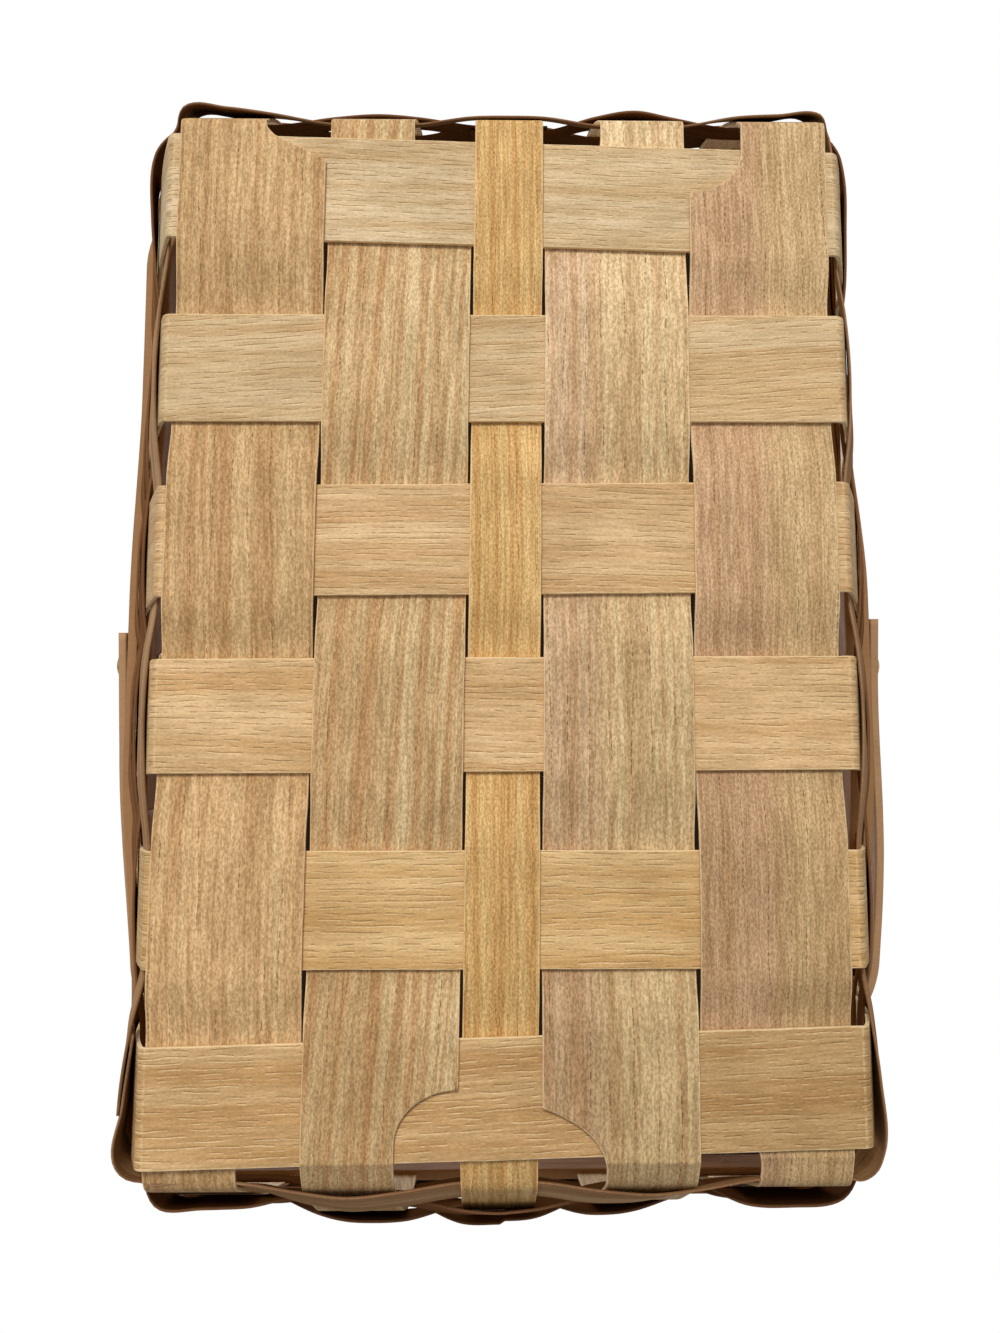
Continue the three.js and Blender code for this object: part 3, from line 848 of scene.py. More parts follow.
class WoodShop:
    """Node groups that all woods share, and the materials made from them."""

    def __init__(self) -> None:
        """Builds the groups."""
        self.figure = self._figure_group()
        self.edges = self._edge_group()

    def _group(self, name: str, inputs: Sequence[tuple[str, str]],
               outputs: Sequence[str]) -> tuple[bpy.types.NodeTree, Graph]:
        """Makes an empty shader group with named sockets."""
        tree = bpy.data.node_groups.new(name, "ShaderNodeTree")
        for key, kind in inputs:
            tree.interface.new_socket(key, in_out="INPUT", socket_type=kind)
        for key in outputs:
            tree.interface.new_socket(key, in_out="OUTPUT", socket_type="NodeSocketFloat")
        return tree, Graph(tree)

    def _figure_group(self) -> bpy.types.NodeTree:
        """Builds the figure of planed wood: broad streaks, flecks with a painted highlight beside each,
        fibres and pores.
        """
        tree, graph = self._group(
            "wood_figure",
            [("Grain", "NodeSocketVector"), ("Spacing", "NodeSocketFloat"), ("Dash", "NodeSocketFloat"),
             ("Slant", "NodeSocketFloat"), ("Dots", "NodeSocketFloat"), ("Streaks", "NodeSocketFloat"),
             ("Seed", "NodeSocketFloat")],
            ["Streak", "Line", "Painted Highlight", "Fibre", "Pore", "Cloud"],
        )
        source = graph.add("NodeGroupInput").outputs
        split = graph.add("ShaderNodeSeparateXYZ")
        graph.feed(split.inputs[0], source["Grain"])
        run, flat, depth = split.outputs
        seed, spacing = source["Seed"], source["Spacing"]
        layer = graph.math("MULTIPLY_ADD", depth, 300.0, seed)

        def stretched(along: object, beside: object, third: object, detail: float) -> Socket:
            """Returns noise at a place along and across the grain."""
            return graph.noise(graph.combine(along, beside, third), 1.0, detail)

        times = graph.times
        sway = stretched(times(run, 8.0), times(flat, 18.0), seed, 1.0)
        slanted = graph.math("MULTIPLY_ADD", run, source["Slant"], flat)
        wavy = graph.math("MULTIPLY_ADD", graph.math("SUBTRACT", sway, 0.5), 5 * MM, slanted)
        streak = stretched(times(run, 5.0), times(wavy, source["Streaks"]), layer, 4.0)
        cloud = stretched(times(run, 22.0), times(flat, 40.0), seed, 2.0)
        fibre = stretched(times(run, 75.0), times(wavy, 1050.0), layer, 3.0)
        grit = stretched(times(run, 850.0), times(wavy, 1900.0), layer, 2.0)

        rows = graph.math("DIVIDE", wavy, spacing)
        cell = graph.math("FLOOR", rows)
        bob = stretched(graph.math("DIVIDE", run, times(source["Dash"], 2.2)), times(cell, 7.31), seed, 1.0)
        place = graph.math("MULTIPLY_ADD", graph.math("SUBTRACT", bob, 0.5), 0.9, graph.math("FRACT", rows))
        signed = times(graph.math("SUBTRACT", place, 0.5), spacing)
        drawn = stretched(graph.math("DIVIDE", run, source["Dash"]), times(cell, 3.17),
                          graph.math("ADD", seed, 5.0), 2.0)
        dotted = graph.math("MULTIPLY_ADD", graph.math("SUBTRACT", graph.span(grit, 0.42, 0.6), 1.0),
                            source["Dots"], 1.0)
        dash = times(graph.span(drawn, 0.46, 0.56), dotted)
        line = graph.span(graph.math("ABSOLUTE", signed), 0.05 * MM, 0.26 * MM, 1.0, 0.0)
        # A painted highlight beside each line stands in for the lit side of a pressed-in groove.
        beside = graph.math("ABSOLUTE", graph.math("ADD", signed, 0.36 * MM))
        painted_highlight = graph.span(beside, 0.04 * MM, 0.28 * MM, 1.0, 0.0)

        graph.wire("NodeGroupOutput", {
            "Streak": graph.span(streak, 0.38, 0.64), "Line": times(line, dash),
            "Painted Highlight": times(painted_highlight, dash), "Fibre": graph.span(fibre, 0.28, 0.72),
            "Pore": graph.span(grit, 0.3, 0.7), "Cloud": graph.span(cloud, 0.3, 0.7)})
        return tree

    def _edge_group(self) -> bpy.types.NodeTree:
        """Builds a band along a strip's edges, which on most strips becomes a painted highlight, and darker
        patches a little further in.
        """
        tree, graph = self._group(
            "strip_edges",
            [("Grain", "NodeSocketVector"), ("Edge", "NodeSocketFloat"), ("Seed", "NodeSocketFloat")],
            ["Cut", "Near Edge Dark"],
        )
        source = graph.add("NodeGroupInput").outputs
        # A band along the edges, which make blends towards the finish's light tone.
        broken = graph.noise(source["Grain"], 260.0, 2.0)
        spread = graph.math("MULTIPLY_ADD", broken, 0.5 * MM, 0.02 * MM)
        cut = graph.span(graph.math("DIVIDE", source["Edge"], spread), 1.0, 1.9, 1.0, 0.0)
        # Darker patches a little in from the edges.
        moved = graph.vector("ADD", source["Grain"], graph.combine(source["Seed"], 0.0, 0.0))
        patch = graph.noise(moved, 45.0)
        near_edge_dark = graph.times(graph.span(source["Edge"], 0.3 * MM, 3.5 * MM, 1.0, 0.0),
                           graph.span(patch, 0.5, 0.7))
        graph.wire("NodeGroupOutput", {"Cut": cut, "Near Edge Dark": near_edge_dark})
        return tree

    def make(self, name: str, finish: WoodFinish) -> bpy.types.Material:
        """Makes the material of one strip.

        Args:
            name: Name of the material.
            finish: Its tones and figure.

        Returns:
            The material.
        """
        material = bpy.data.materials.new(name)
        material.use_nodes = True
        graph = Graph(material.node_tree)
        shader = material.node_tree.nodes["Principled BSDF"]
        grain = graph.add("ShaderNodeAttribute", attribute_name="grain").outputs["Vector"]
        edge = graph.add("ShaderNodeAttribute", attribute_name="edge").outputs["Fac"]
        bend = graph.add("ShaderNodeAttribute", attribute_name="bend").outputs["Fac"]
        figure = graph.wire("ShaderNodeGroup", {
            "Grain": grain, "Spacing": finish.line_spacing, "Dash": finish.dash, "Slant": finish.slant,
            "Dots": finish.dots, "Streaks": finish.streak_rate, "Seed": finish.seed}, node_tree=self.figure)
        shifted = graph.vector("ADD", grain, (finish.seed * 0.13, finish.seed * 0.07, 0.0))
        edges = graph.wire("ShaderNodeGroup", {"Grain": shifted, "Edge": edge, "Seed": finish.seed},
                           node_tree=self.edges)

        split = graph.add("ShaderNodeSeparateXYZ")
        graph.feed(split.inputs[0], grain)
        turn = graph.span(split.outputs[1], finish.split - 6 * MM, finish.split + 6 * MM)
        tone = graph.blend(turn, srgb(*finish.left), srgb(*finish.right))
        streaky = graph.times(figure.outputs["Streak"], finish.streak_share)
        tone = graph.blend(streaky, tone, srgb(*finish.streak))
        lines = graph.times(figure.outputs["Line"], finish.line_share)
        tone = graph.blend(lines, tone, srgb(*finish.dark))
        # Painted highlights beside the flecks.
        painted_highlights = graph.times(figure.outputs["Painted Highlight"], finish.painted_highlight_share)
        tone = graph.blend(painted_highlights, tone, srgb(*finish.light))
        cloud = graph.span(figure.outputs["Cloud"], 0.0, 1.0, 0.92, 1.06)
        fibre = graph.span(figure.outputs["Fibre"], 0.0, 1.0, 1 - finish.fibre_share, 1 + finish.fibre_share)
        grit = graph.span(figure.outputs["Pore"], 0.0, 1.0, 1 + finish.speckle_share,
                          1 - finish.speckle_share)
        # Inner faces darker than the outer ones: partly the wood's tone, partly painted shade.
        inside = graph.span(split.outputs[2], -0.2 * MM, 0.2 * MM, finish.inner_tone_and_shade, 1.0)
        # Brighter or darker towards one end: partly the wood's tone, partly painted shade.
        end_tone_and_shade = graph.span(split.outputs[0], -150 * MM, 150 * MM, *finish.fade)
        shade = graph.times(graph.times(fibre, grit), graph.times(graph.times(cloud, end_tone_and_shade), inside))
        warm = graph.combine(shade, graph.math("POWER", shade, 1.12), graph.math("POWER", shade, 1.35))
        tone = graph.blend(1.0, tone, warm, "MULTIPLY")
        # Darker patches near the edges.
        tone = graph.blend(graph.times(edges.outputs["Near Edge Dark"], 0.25), tone, srgb(*finish.dark))
        # Band along the edges towards the light tone: a painted highlight on the splints, the rim and the
        # handle, a darker edge tone on the weavers.
        tone = graph.blend(graph.times(edges.outputs["Cut"], 0.6), tone, srgb(*finish.light))
        ticks = graph.noise(graph.vector("MULTIPLY", shifted, (120.0, 700.0, 120.0)), 1.0, 2.0)
        cracks = graph.times(graph.span(ticks, 0.55, 0.66), graph.span(bend, 0.3, 0.9))
        tone = graph.blend(graph.times(cracks, 0.5), tone, srgb(*finish.dark))
        burst = graph.noise(graph.vector("MULTIPLY", shifted, (60.0, 480.0, 60.0)), 1.0, 1.0)
        crease = graph.times(graph.span(bend, 0.25, 0.5), graph.span(bend, 0.7, 0.95, 1.0, 0.0))
        crease = graph.times(crease, graph.span(burst, 0.4, 0.55))
        tone = graph.blend(graph.times(crease, finish.crease_share), tone, srgb(*finish.light))
        graph.feed(shader.inputs["Base Color"], tone)
        rough = graph.span(figure.outputs["Fibre"], 0.0, 1.0, finish.roughness + 0.08,
                           finish.roughness - 0.05)
        graph.feed(shader.inputs["Roughness"], rough)
        shader.inputs["Specular IOR Level"].default_value = finish.gloss

        carved = graph.math("ADD", graph.times(lines, -1.0), graph.times(painted_highlights, 0.5))
        height = graph.math("MULTIPLY_ADD", figure.outputs["Fibre"], 0.35, carved)
        height = graph.math("SUBTRACT", height, graph.times(cracks, 0.7))
        graph.feed(shader.inputs["Normal"], graph.bump(0.55, finish.relief, height))
        return material


@dataclass(frozen=True)
class MetalFinish:
    """Tones of a small piece of hardware."""

    clean: Tone
    aged: Tone
    roughness: float

    def make(self, name: str) -> bpy.types.Material:
        """Makes the metal, with aged patches and fine scratches.

        Args:
            name: Name of the material.

        Returns:
            The material.
        """
        material = bpy.data.materials.new(name)
        material.use_nodes = True
        graph = Graph(material.node_tree)
        shader = material.node_tree.nodes["Principled BSDF"]
        place = graph.add("ShaderNodeTexCoord").outputs["Object"]
        patch = graph.span(graph.noise(place, 420.0, 4.0), 0.42, 0.62)
        graph.feed(shader.inputs["Base Color"], graph.blend(patch, srgb(*self.clean), srgb(*self.aged)))
        shader.inputs["Metallic"].default_value = 1.0
        scratch = graph.noise(graph.vector("MULTIPLY", place, (5200.0, 900.0, 5200.0)), 1.0, 2.0)
        graph.feed(shader.inputs["Roughness"],
                   graph.math("MULTIPLY_ADD", scratch, 0.25, self.roughness))
        graph.feed(shader.inputs["Normal"], graph.bump(0.3, 0.05 * MM, scratch))
        return material


LENGTHWISE_LOOK = dict(line_share=0.8, painted_highlight_share=0.15, fibre_share=0.14, speckle_share=0.2,
                       line_spacing=7 * MM, dash=24 * MM, dots=0.85, streak_rate=380.0)
# The fade of each lengthwise splint, darker at one end than the other, is partly the wood's tone and partly
# painted shade.
LENGTHWISE_FINISHES = (
    WoodFinish((222, 184, 134), (222, 186, 136), (184, 134, 84), (142, 98, 58),
               (240, 210, 162), fade=(0.88, 0.84), streak_share=0.55, seed=1.3, **LENGTHWISE_LOOK),
    WoodFinish((206, 173, 126), (212, 183, 136), (178, 126, 76), (144, 102, 58),
               (238, 210, 160), fade=(0.88, 1.02), streak_share=0.6, slant=-0.06, seed=4.1,
               **LENGTHWISE_LOOK),
    WoodFinish((218, 180, 120), (222, 184, 124), (192, 136, 72), (160, 112, 60),
               (244, 214, 158), fade=(0.92, 1.0), streak_share=0.65, seed=7.7, **LENGTHWISE_LOOK),
    WoodFinish((212, 178, 140), (220, 191, 144), (184, 138, 92), (126, 88, 56),
               (240, 216, 168), split=-7 * MM, fade=(0.76, 1.05), streak_share=0.5, seed=9.2,
               **LENGTHWISE_LOOK),
    WoodFinish((202, 164, 126), (208, 176, 130), (176, 134, 90), (126, 90, 60),
               (234, 208, 162), split=2 * MM, fade=(0.83, 1.02), streak_share=0.5, seed=12.6,
               **LENGTHWISE_LOOK),
)
CROSS_SLANTS = (0.03, -0.05, 0.02, 0.01, 0.0, -0.04)
# The last splint's darker tone and the fades along each splint are partly the wood's tone and partly painted
# shade.
CROSS_TONES = ((216, 191, 152), (212, 183, 141), (216, 181, 135), (218, 182, 134), (216, 180, 127),
               (199, 163, 115))
CROSS_TONE_AND_SHADE_FADES = ((1.02, 0.97), (0.94, 1.06), (1.02, 0.97), (1.02, 0.97), (1.02, 0.97), (1.17, 0.84))


def cross_finish(index: int) -> WoodFinish:
    """Returns the finish of one cross splint, with short flecks that look pressed in, each with a painted
    highlight beside it.
    """
    warm = CROSS_TONES[index]
    streak = tuple(int(value * share) for value, share in zip(warm, (0.91, 0.85, 0.76)))
    return WoodFinish(warm, warm, streak, (150, 106, 58), (246, 220, 172),
                      streak_share=0.75, line_share=0.7, painted_highlight_share=0.45, line_spacing=1.9 * MM,
                      dash=5.5 * MM, fibre_share=0.1, speckle_share=0.08, slant=CROSS_SLANTS[index],
                      relief=0.18 * MM, crease_share=0.3, fade=CROSS_TONE_AND_SHADE_FADES[index],
                      seed=21.0 + 3.7 * index)


# Rows 2 to 5 are much darker than row 1: partly the weavers' own tone, partly painted shade.
WEAVER_TONES = ((210, 172, 132), (134, 92, 64), (136, 96, 66), (148, 106, 72), (146, 104, 70))
WEAVER_EDGE_STEP = 6


def weaver_finish(row: int) -> WoodFinish:
    """Returns the finish of one weaver row, counted from 0."""
    warm = WEAVER_TONES[row]
    # The inner faces are darkened to 0.35 of the outer ones: partly the weavers' tone, partly painted shade.
    return WoodFinish(warm, tuple(value - WEAVER_EDGE_STEP for value in warm), (150, 100, 58), (104, 66, 38),
                      (116, 82, 56), streak_share=0.6, line_share=0.4, line_spacing=4 * MM,
                      dash=22 * MM, dots=0.5, inner_tone_and_shade=0.35, gloss=0.0, seed=50.0 + 2.9 * row)


RIM_FINISH = WoodFinish((142, 102, 68), (134, 94, 62), (112, 74, 46), (80, 50, 32),
                        (170, 130, 90), streak_share=0.6, line_share=0.4, line_spacing=4 * MM,
                        dash=24 * MM, dots=0.5, gloss=0.02, seed=71.0)
HANDLE_FINISH = WoodFinish((172, 132, 98), (164, 124, 90), (144, 100, 66), (100, 68, 44),
                           (190, 150, 108), streak_share=0.6, line_share=0.4, line_spacing=3.5 * MM,
                           dash=26 * MM, dots=0.5, roughness=0.5, seed=83.0)
BRASS = MetalFinish((188, 152, 92), (128, 98, 58), 0.28)
STEEL = MetalFinish((150, 146, 140), (88, 76, 64), 0.32)


@dataclass(frozen=True)
class Workshop:
    """The strip tree and the woods, with which all strips are made."""

    tree: StripTree
    woods: WoodShop

    def strip(self, name: str, guide: Guide, section: Section, finish: WoodFinish, warp: Warp,
              wood: str = "") -> bpy.types.Object:
        """Makes one strip from its own wood.

        Args:
            name: Name of the piece.
            guide: The line to follow.
            section: The strip's section.
            finish: Its finish.
            warp: How far it warps.
            wood: Name of its material, where that isn't the piece's own name with wood after it.

        Returns:
            The plain piece.
        """
        return self.tree.make(name, guide, section, self.woods.make(wood or f"{name}_wood", finish), warp)


@dataclass(frozen=True)
class Splints:
    """The woven base, whose splints bend up and become the uprights.

    Attributes:
        workshop: What the strips are made with.
        step: Distance between the points of a strip's guide along the base.
        wall_step: The same up the wall.
        bend_steps: Number of steps in a bend.
        crease_radius: Radius of the crease below a soft foot.
        crease_points: Number of its points.
        least_crease: Least angle that it turns by, in radians.
        cut_points: Number of points along a cut.
        least_gap: Least distance of these from a bend.
        free_height: Height below the rim over which an upright comes free of it.
        held_lift: How freely it may warp just below the rim.
    """

    workshop: Workshop
    step: float = 2 * MM
    wall_step: float = 3 * MM
    bend_steps: int = 8
    crease_radius: float = 1 * MM
    crease_points: int = 5
    least_crease: float = 0.12
    cut_points: int = 28
    least_gap: float = 0.2 * MM
    free_height: float = 30 * MM
    held_lift: float = 0.3

    def _level(self, index: int, x: np.ndarray, y: float) -> np.ndarray:
        """Works out how a lengthwise splint weaves over and under the cross splints.

        Args:
            index: The splint's number from -Y.
            x: Places along the base.
            y: Place of the splint's middle across it.

        Returns:
            Height of the splint's middle at each place.
        """
        reach = PLAN.cross / 2 + PLAN.crossing_margin
        knots_x, knots_z = [], []
        for cross in reversed(range(len(PLAN.cross_drift_shares))):
            middle = float(PLAN.cross_middle(cross, y))
            outside = (index + cross) % 2 == 0
            level = PLAN.thickness / 2 + (0 if outside else 2 * PLAN.rise)
            knots_x += [middle - reach, middle + reach]
            knots_z += [level, level]
        knots_x, knots_z = np.array(knots_x), np.array(knots_z)
        after = np.clip(np.searchsorted(knots_x, x), 1, len(knots_x) - 1)
        share = (x - knots_x[after - 1]) / (knots_x[after] - knots_x[after - 1])
        return knots_z[after - 1] + ease(share) * (knots_z[after] - knots_z[after - 1])

    def _rising(self, wall: Wall, base: float) -> tuple[np.ndarray, np.ndarray, np.ndarray, np.ndarray]:
        """Works out a splint's side view from the base's edge to its top.

        Args:
            wall: Profile of the wall that it goes up.
            base: Height of its middle at the base's edge.

        Returns:
            Distance out, height, angle and bend at each point.
        """
        lean = math.atan(wall.start)
        if wall.toe > 0:
            out, height, angles, bend = self._toe(wall, base)
        else:
            start = wall.foot + (base + PLAN.bend_radius) * wall.start - PLAN.bend_radius / math.cos(lean)
            angles = np.linspace(0, math.pi / 2 - lean, self.bend_steps + 1)
            out = start + PLAN.bend_radius * np.sin(angles)
            height = base + PLAN.bend_radius * (1 - np.cos(angles))
            bend = np.sin(np.pi * angles / angles[-1]) ** 0.5
        top = wall.height - PLAN.top_inset
        heights = np.linspace(height[-1], top, int((top - height[-1]) / self.wall_step) + 1)[1:]
        places = [wall.at_height(float(z)) for z in heights]
        out = np.concatenate([out, [place.out for place in places]])
        slopes = np.arctan([place.slope for place in places])
        bend = np.concatenate([bend, np.zeros(len(places))])
        return out, np.concatenate([height, heights]), np.concatenate([angles, np.pi / 2 - slopes]), bend

    def _toe(self, wall: Wall, base: float) -> tuple[np.ndarray, np.ndarray, np.ndarray, np.ndarray]:
        """Works out the soft foot alone: a small crease, then a curve up to the toe's height.

        Args:
            wall: Profile of the wall.
            base: Height of the splint's middle at the base's edge.

        Returns:
            Distance out, height, angle and bend at each point.
        """
        radius, end = self.crease_radius, wall.at_height(wall.toe)
        last = math.pi / 2 - math.atan(end.slope)
        chord = np.array([end.out - wall.half_base - radius / 2, end.height - base])
        rise = math.atan2(chord[1], chord[0])
        first = max(rise - wall.crease_share * (last - rise), self.least_crease)
        turned_by = np.linspace(0, first, self.crease_points)
        share = np.linspace(0, 1, self.bend_steps + 1)[1:, None]
        start = np.array([wall.half_base + radius * math.sin(first), base + radius * (1 - math.cos(first))])
        stop, reach = np.array([end.out, end.height]), float(np.linalg.norm(chord))
        squared, cubed = share**2, share**3
        curve = (2 * cubed - 3 * squared + 1) * start + (3 * squared - 2 * cubed) * stop
        curve = curve + (cubed - 2 * squared + share) * reach * np.array([math.cos(first), math.sin(first)])
        curve = curve + (cubed - squared) * reach * np.array([math.cos(last), math.sin(last)])
        out = np.concatenate([wall.half_base + radius * np.sin(turned_by), curve[:, 0]])
        height = np.concatenate([base + radius * (1 - np.cos(turned_by)), curve[:, 1]])
        angles = np.concatenate([turned_by, first + (last - first) * share[:, 0]])
        bend = np.concatenate([np.sin(np.pi * turned_by / first) ** 0.5, np.zeros(len(curve))])
        return out, height, angles, bend

    def _path(self, back: Wall, front: Wall, levels: Callable[[np.ndarray], np.ndarray],
              extra: np.ndarray | None = None) -> tuple[np.ndarray, ...]:
        """Joins both uprights of a splint and its stretch of the base.

        Args:
            back: Profile of the wall that its low end goes up.
            front: Profile of the wall that its high end goes up.
            levels: Function that gives the height for places along the base.
            extra: More places along the base that get a point.

        Returns:
            Distance along, height, angle and bend at each point.
        """
        low, high = (float(levels(np.array([place]))[0]) for place in (-back.half_base, front.half_base))
        left, right = self._rising(back, low), self._rising(front, high)
        count = int((left[0][0] + right[0][0]) / self.step)
        middle = np.linspace(-left[0][0], right[0][0], count + 1)[1:-1]
        if extra is not None:
            inside = extra[(extra > self.least_gap - left[0][0]) & (extra < right[0][0] - self.least_gap)]
            middle = np.unique(np.round(np.concatenate([middle, inside]), 5))
        heights = levels(middle)
        angles = np.arctan(np.gradient(heights, middle))
        along = np.concatenate([-left[0][::-1], middle, right[0]])
        height = np.concatenate([left[1][::-1], heights, right[1]])
        angle = np.concatenate([-left[2][::-1], angles, right[2]])
        bend = np.concatenate([left[3][::-1], np.zeros(len(middle)), right[3]])
        return along, height, angle, bend

    def _guide(self, direction: np.ndarray, path: tuple[np.ndarray, ...], low: np.ndarray,
               high: np.ndarray, anchor: float) -> Guide:
        """Makes a splint's guide.

        Args:
            direction: Direction that the splint runs in.
            path: Distance along, height, angle and bend at each point.
            low: Its low edge at each point.
            high: Its high edge.
            anchor: Place across the basket of the middle that it runs along.

        Returns:
            The guide.
        """
        along, height, angle, bend = path
        across = np.array([abs(direction[1]), abs(direction[0]), 0.0])
        centre = SETTLING.move(along[:, None] * direction + height[:, None] * UP + anchor * across)
        face = np.sin(angle)[:, None] * direction - np.cos(angle)[:, None] * UP
        rim_foot = SIDE_WALL.height - SIDE_WALL.rim_height
        lift = ease((rim_foot - height) / self.free_height) * (1 - self.held_lift) + self.held_lift
        lift = np.where(height > rim_foot, 0.0, lift)
        return Guide(centre, across, face, low - anchor, high - anchor, PLAN.thickness,
                     -PLAN.thickness / 2, bend, lift)

    def lengthwise(self, index: int) -> bpy.types.Object:
        """Makes one lengthwise splint with its cut corners.

        Args:
            index: The splint's number from -Y.

        Returns:
            The piece.
        """
        middle = float(np.mean(PLAN.lengthwise_edges(index, 0.0)))
        cuts = [(table[index], sign) for table, sign in ((FRONT_CUTS, 1), (BACK_CUTS, -1)) if index in table]
        extra = [sign * (PLAN.base_length / 2 - (cut.start_share - cut.run_share * share**2) * PLAN.wide)
                 for cut, sign in cuts for share in np.linspace(0, 1, self.cut_points)]
        path = self._path(BACK_WALL, FRONT_WALL, lambda x: self._level(index, x, middle), np.array(extra))
        along = path[0]
        lows, highs = PLAN.lengthwise_edges(index, along)
        narrowing = np.zeros(len(along))
        for cut, sign in cuts:
            start = PLAN.base_length / 2 - cut.start_share * PLAN.wide
            share = (sign * along - start) / (cut.run_share * PLAN.wide)
            narrowing = np.maximum(narrowing, cut.style.narrowing(share))
        excess = np.maximum(0.0, highs - lows - PLAN.upright) * narrowing
        lows, highs = lows + (excess if middle > 0 else 0), highs - (excess if middle < 0 else 0)
        guide = self._guide(np.array([1.0, 0.0, 0.0]), path, lows, highs, middle)
        narrow = PLAN.lengthwise_widths[index] == PLAN.narrow
        return self.workshop.strip(f"lengthwise_strip_{index + 1}", guide, Section(14 if narrow else 24),
                                   LENGTHWISE_FINISHES[index],
                                   Warp(0.12 * MM, 70 * MM, 0.25 * MM, 3.1 * index + 1))

    def crosswise(self, index: int) -> bpy.types.Object:
        """Makes one cross splint.

        Args:
            index: The splint's number from +X.

        Returns:
            The piece.
        """
        level = PLAN.thickness / 2 + PLAN.rise
        path = self._path(SIDE_WALL, SIDE_WALL, lambda y: np.full(len(y), level))
        middle = PLAN.cross_middle(index, path[0])
        guide = self._guide(np.array([0.0, 1.0, 0.0]), path, middle - PLAN.cross / 2,
                            middle + PLAN.cross / 2, PLAN.cross_middles()[index])
        return self.workshop.strip(f"cross_strip_{index + 1}", guide, Section(20), cross_finish(index),
                                   Warp(0.12 * MM, 60 * MM, 0.25 * MM, 5.3 * index + 40))

    def build(self) -> None:
        """Makes all splints and puts each in place of its node."""
        for index in range(len(PLAN.lengthwise_widths)):
            report(self.lengthwise(index), BASKET, "lengthwise_wood", f"lengthwise_splint_{index + 1}")
        for index in range(len(PLAN.cross_drift_shares)):
            report(self.crosswise(index), BASKET, "cross_wood", f"cross_splint_{index + 1}")


class Level:
    """Level line round the wall at one place of its profile."""

    corner_reach: float = 3.2 * MM

    def __init__(self, side: Place, front: Place, back: Place) -> None:
        """Works out the straights, the corner arcs and where each upright stands."""
        self.side, self.front, self.back = side, front, back
        leans = (side.out - SIDE_WALL.foot, front.out - FRONT_WALL.foot, back.out - BACK_WALL.foot)
        self.radius = self.corner_reach + min(leans)
        self.front_x, self.back_x = front.out - self.radius, back.out - self.radius
        self.straight_y = side.out - self.radius
        self.arc = math.pi / 2 * self.radius
        lengths = [self.front_x + self.back_x, self.arc, 2 * self.straight_y, self.arc] * 2
        self.starts = np.concatenate([[0], np.cumsum(lengths)])
        self.perimeter = float(self.starts[-1])
        self.spans = self._spans()

    def _spans(self) -> list[tuple[float, float]]:
        """Returns the stretch of each upright, on +Y, +X, -Y and -X in turn."""
        crosses = range(len(PLAN.cross_drift_shares))
        splints = range(len(PLAN.lengthwise_widths))
        spans = []
        for cross in reversed(crosses):
            middle = self.starts[0] + self.back_x + float(PLAN.cross_middle(cross, PLAN.base_width))
            spans.append((middle - PLAN.cross / 2, middle + PLAN.cross / 2))
        for splint in reversed(splints):
            low, high = PLAN.upright_edges(splint, 1)
            middle = self.starts[2] + self.straight_y
            spans.append((middle - high, middle - low))
        for cross in crosses:
            middle = self.starts[4] + self.front_x - float(PLAN.cross_middle(cross, -PLAN.base_width))
            spans.append((middle - PLAN.cross / 2, middle + PLAN.cross / 2))
        for splint in splints:
            low, high = PLAN.upright_edges(splint, -1)
            middle = self.starts[6] + self.straight_y
            spans.append((middle + low, middle + high))
        return spans

    def place(self, distance: float) -> tuple[np.ndarray, np.ndarray, float]:
        """Finds a place on the line.

        Args:
            distance: Distance round the line.

        Returns:
            The point, the outward direction and the wall's slope there.
        """
        wrapped = distance % self.perimeter
        part = min(int(np.searchsorted(self.starts, wrapped, side="right")) - 1, 7)
        along = wrapped - self.starts[part]
        quarter, on_arc = part // 2, part % 2 == 1
        turned = quarter * math.pi / 2 + (along / self.radius if on_arc else 0)
        back = 0 if on_arc else self.starts[part + 1] - self.starts[part] - along
        corner_y = self.straight_y if quarter in (0, 3) else -self.straight_y
        corner_x = self.front_x if quarter < 2 else -self.back_x
        normal = np.array([math.sin(turned), math.cos(turned), 0.0])
        heading = np.array([math.cos(turned), -math.sin(turned), 0.0])
        point = np.array([corner_x, corner_y, 0.0]) + normal * self.radius - heading * back
        share, end = math.sin(turned) ** 2, self.front if normal[0] > 0 else self.back
        point[2] = self.side.height + share * (end.height - self.side.height)
        return point, normal, self.side.slope + share * (end.slope - self.side.slope)

    def guide(self, distances: np.ndarray, offsets: np.ndarray, width: float,
              thickness: np.ndarray | float, inner: np.ndarray | float, lift: float, slides: np.ndarray,
              leans: np.ndarray | None = None) -> Guide:
        """Makes the guide of a strip that stands on the line.

        Args:
            distances: Distances round the line.
            offsets: How far the strip's middle lies off the wall's face.
            width: Width of the strip.
            thickness: Its thickness, all along or at each distance.
            inner: Offset of its inner face, all along or at each distance.
            lift: How freely it may warp.
            slides: How far each point is moved up the slope.
            leans: How far the strip's top leans in, as a slope against the wall.

        Returns:
            The guide.
        """
        centres, acrosses, faces = [], [], []
        leans = np.zeros(len(distances)) if leans is None else leans
        for distance, offset, slide, lean in zip(distances, offsets, slides, leans):
            point, normal, slope = self.place(float(distance))
            face = unit(normal - slope * UP)
            across = unit(normal * slope + UP)
            centres.append(point + face * offset + across * slide)
            acrosses.append(unit(across - face * lean))
            faces.append(unit(face + across * lean))
        middles, up = np.array(centres), np.array(acrosses) * width / 2
        foot, top = SETTLING.move(middles - up), SETTLING.move(middles + up)
        across, face = unit(top - foot), np.array(faces)
        face = unit(face - np.sum(face * across, axis=1, keepdims=True) * across)
        return Guide((foot + top) / 2, across, face, -width / 2, width / 2, thickness, inner, 0.0, lift)


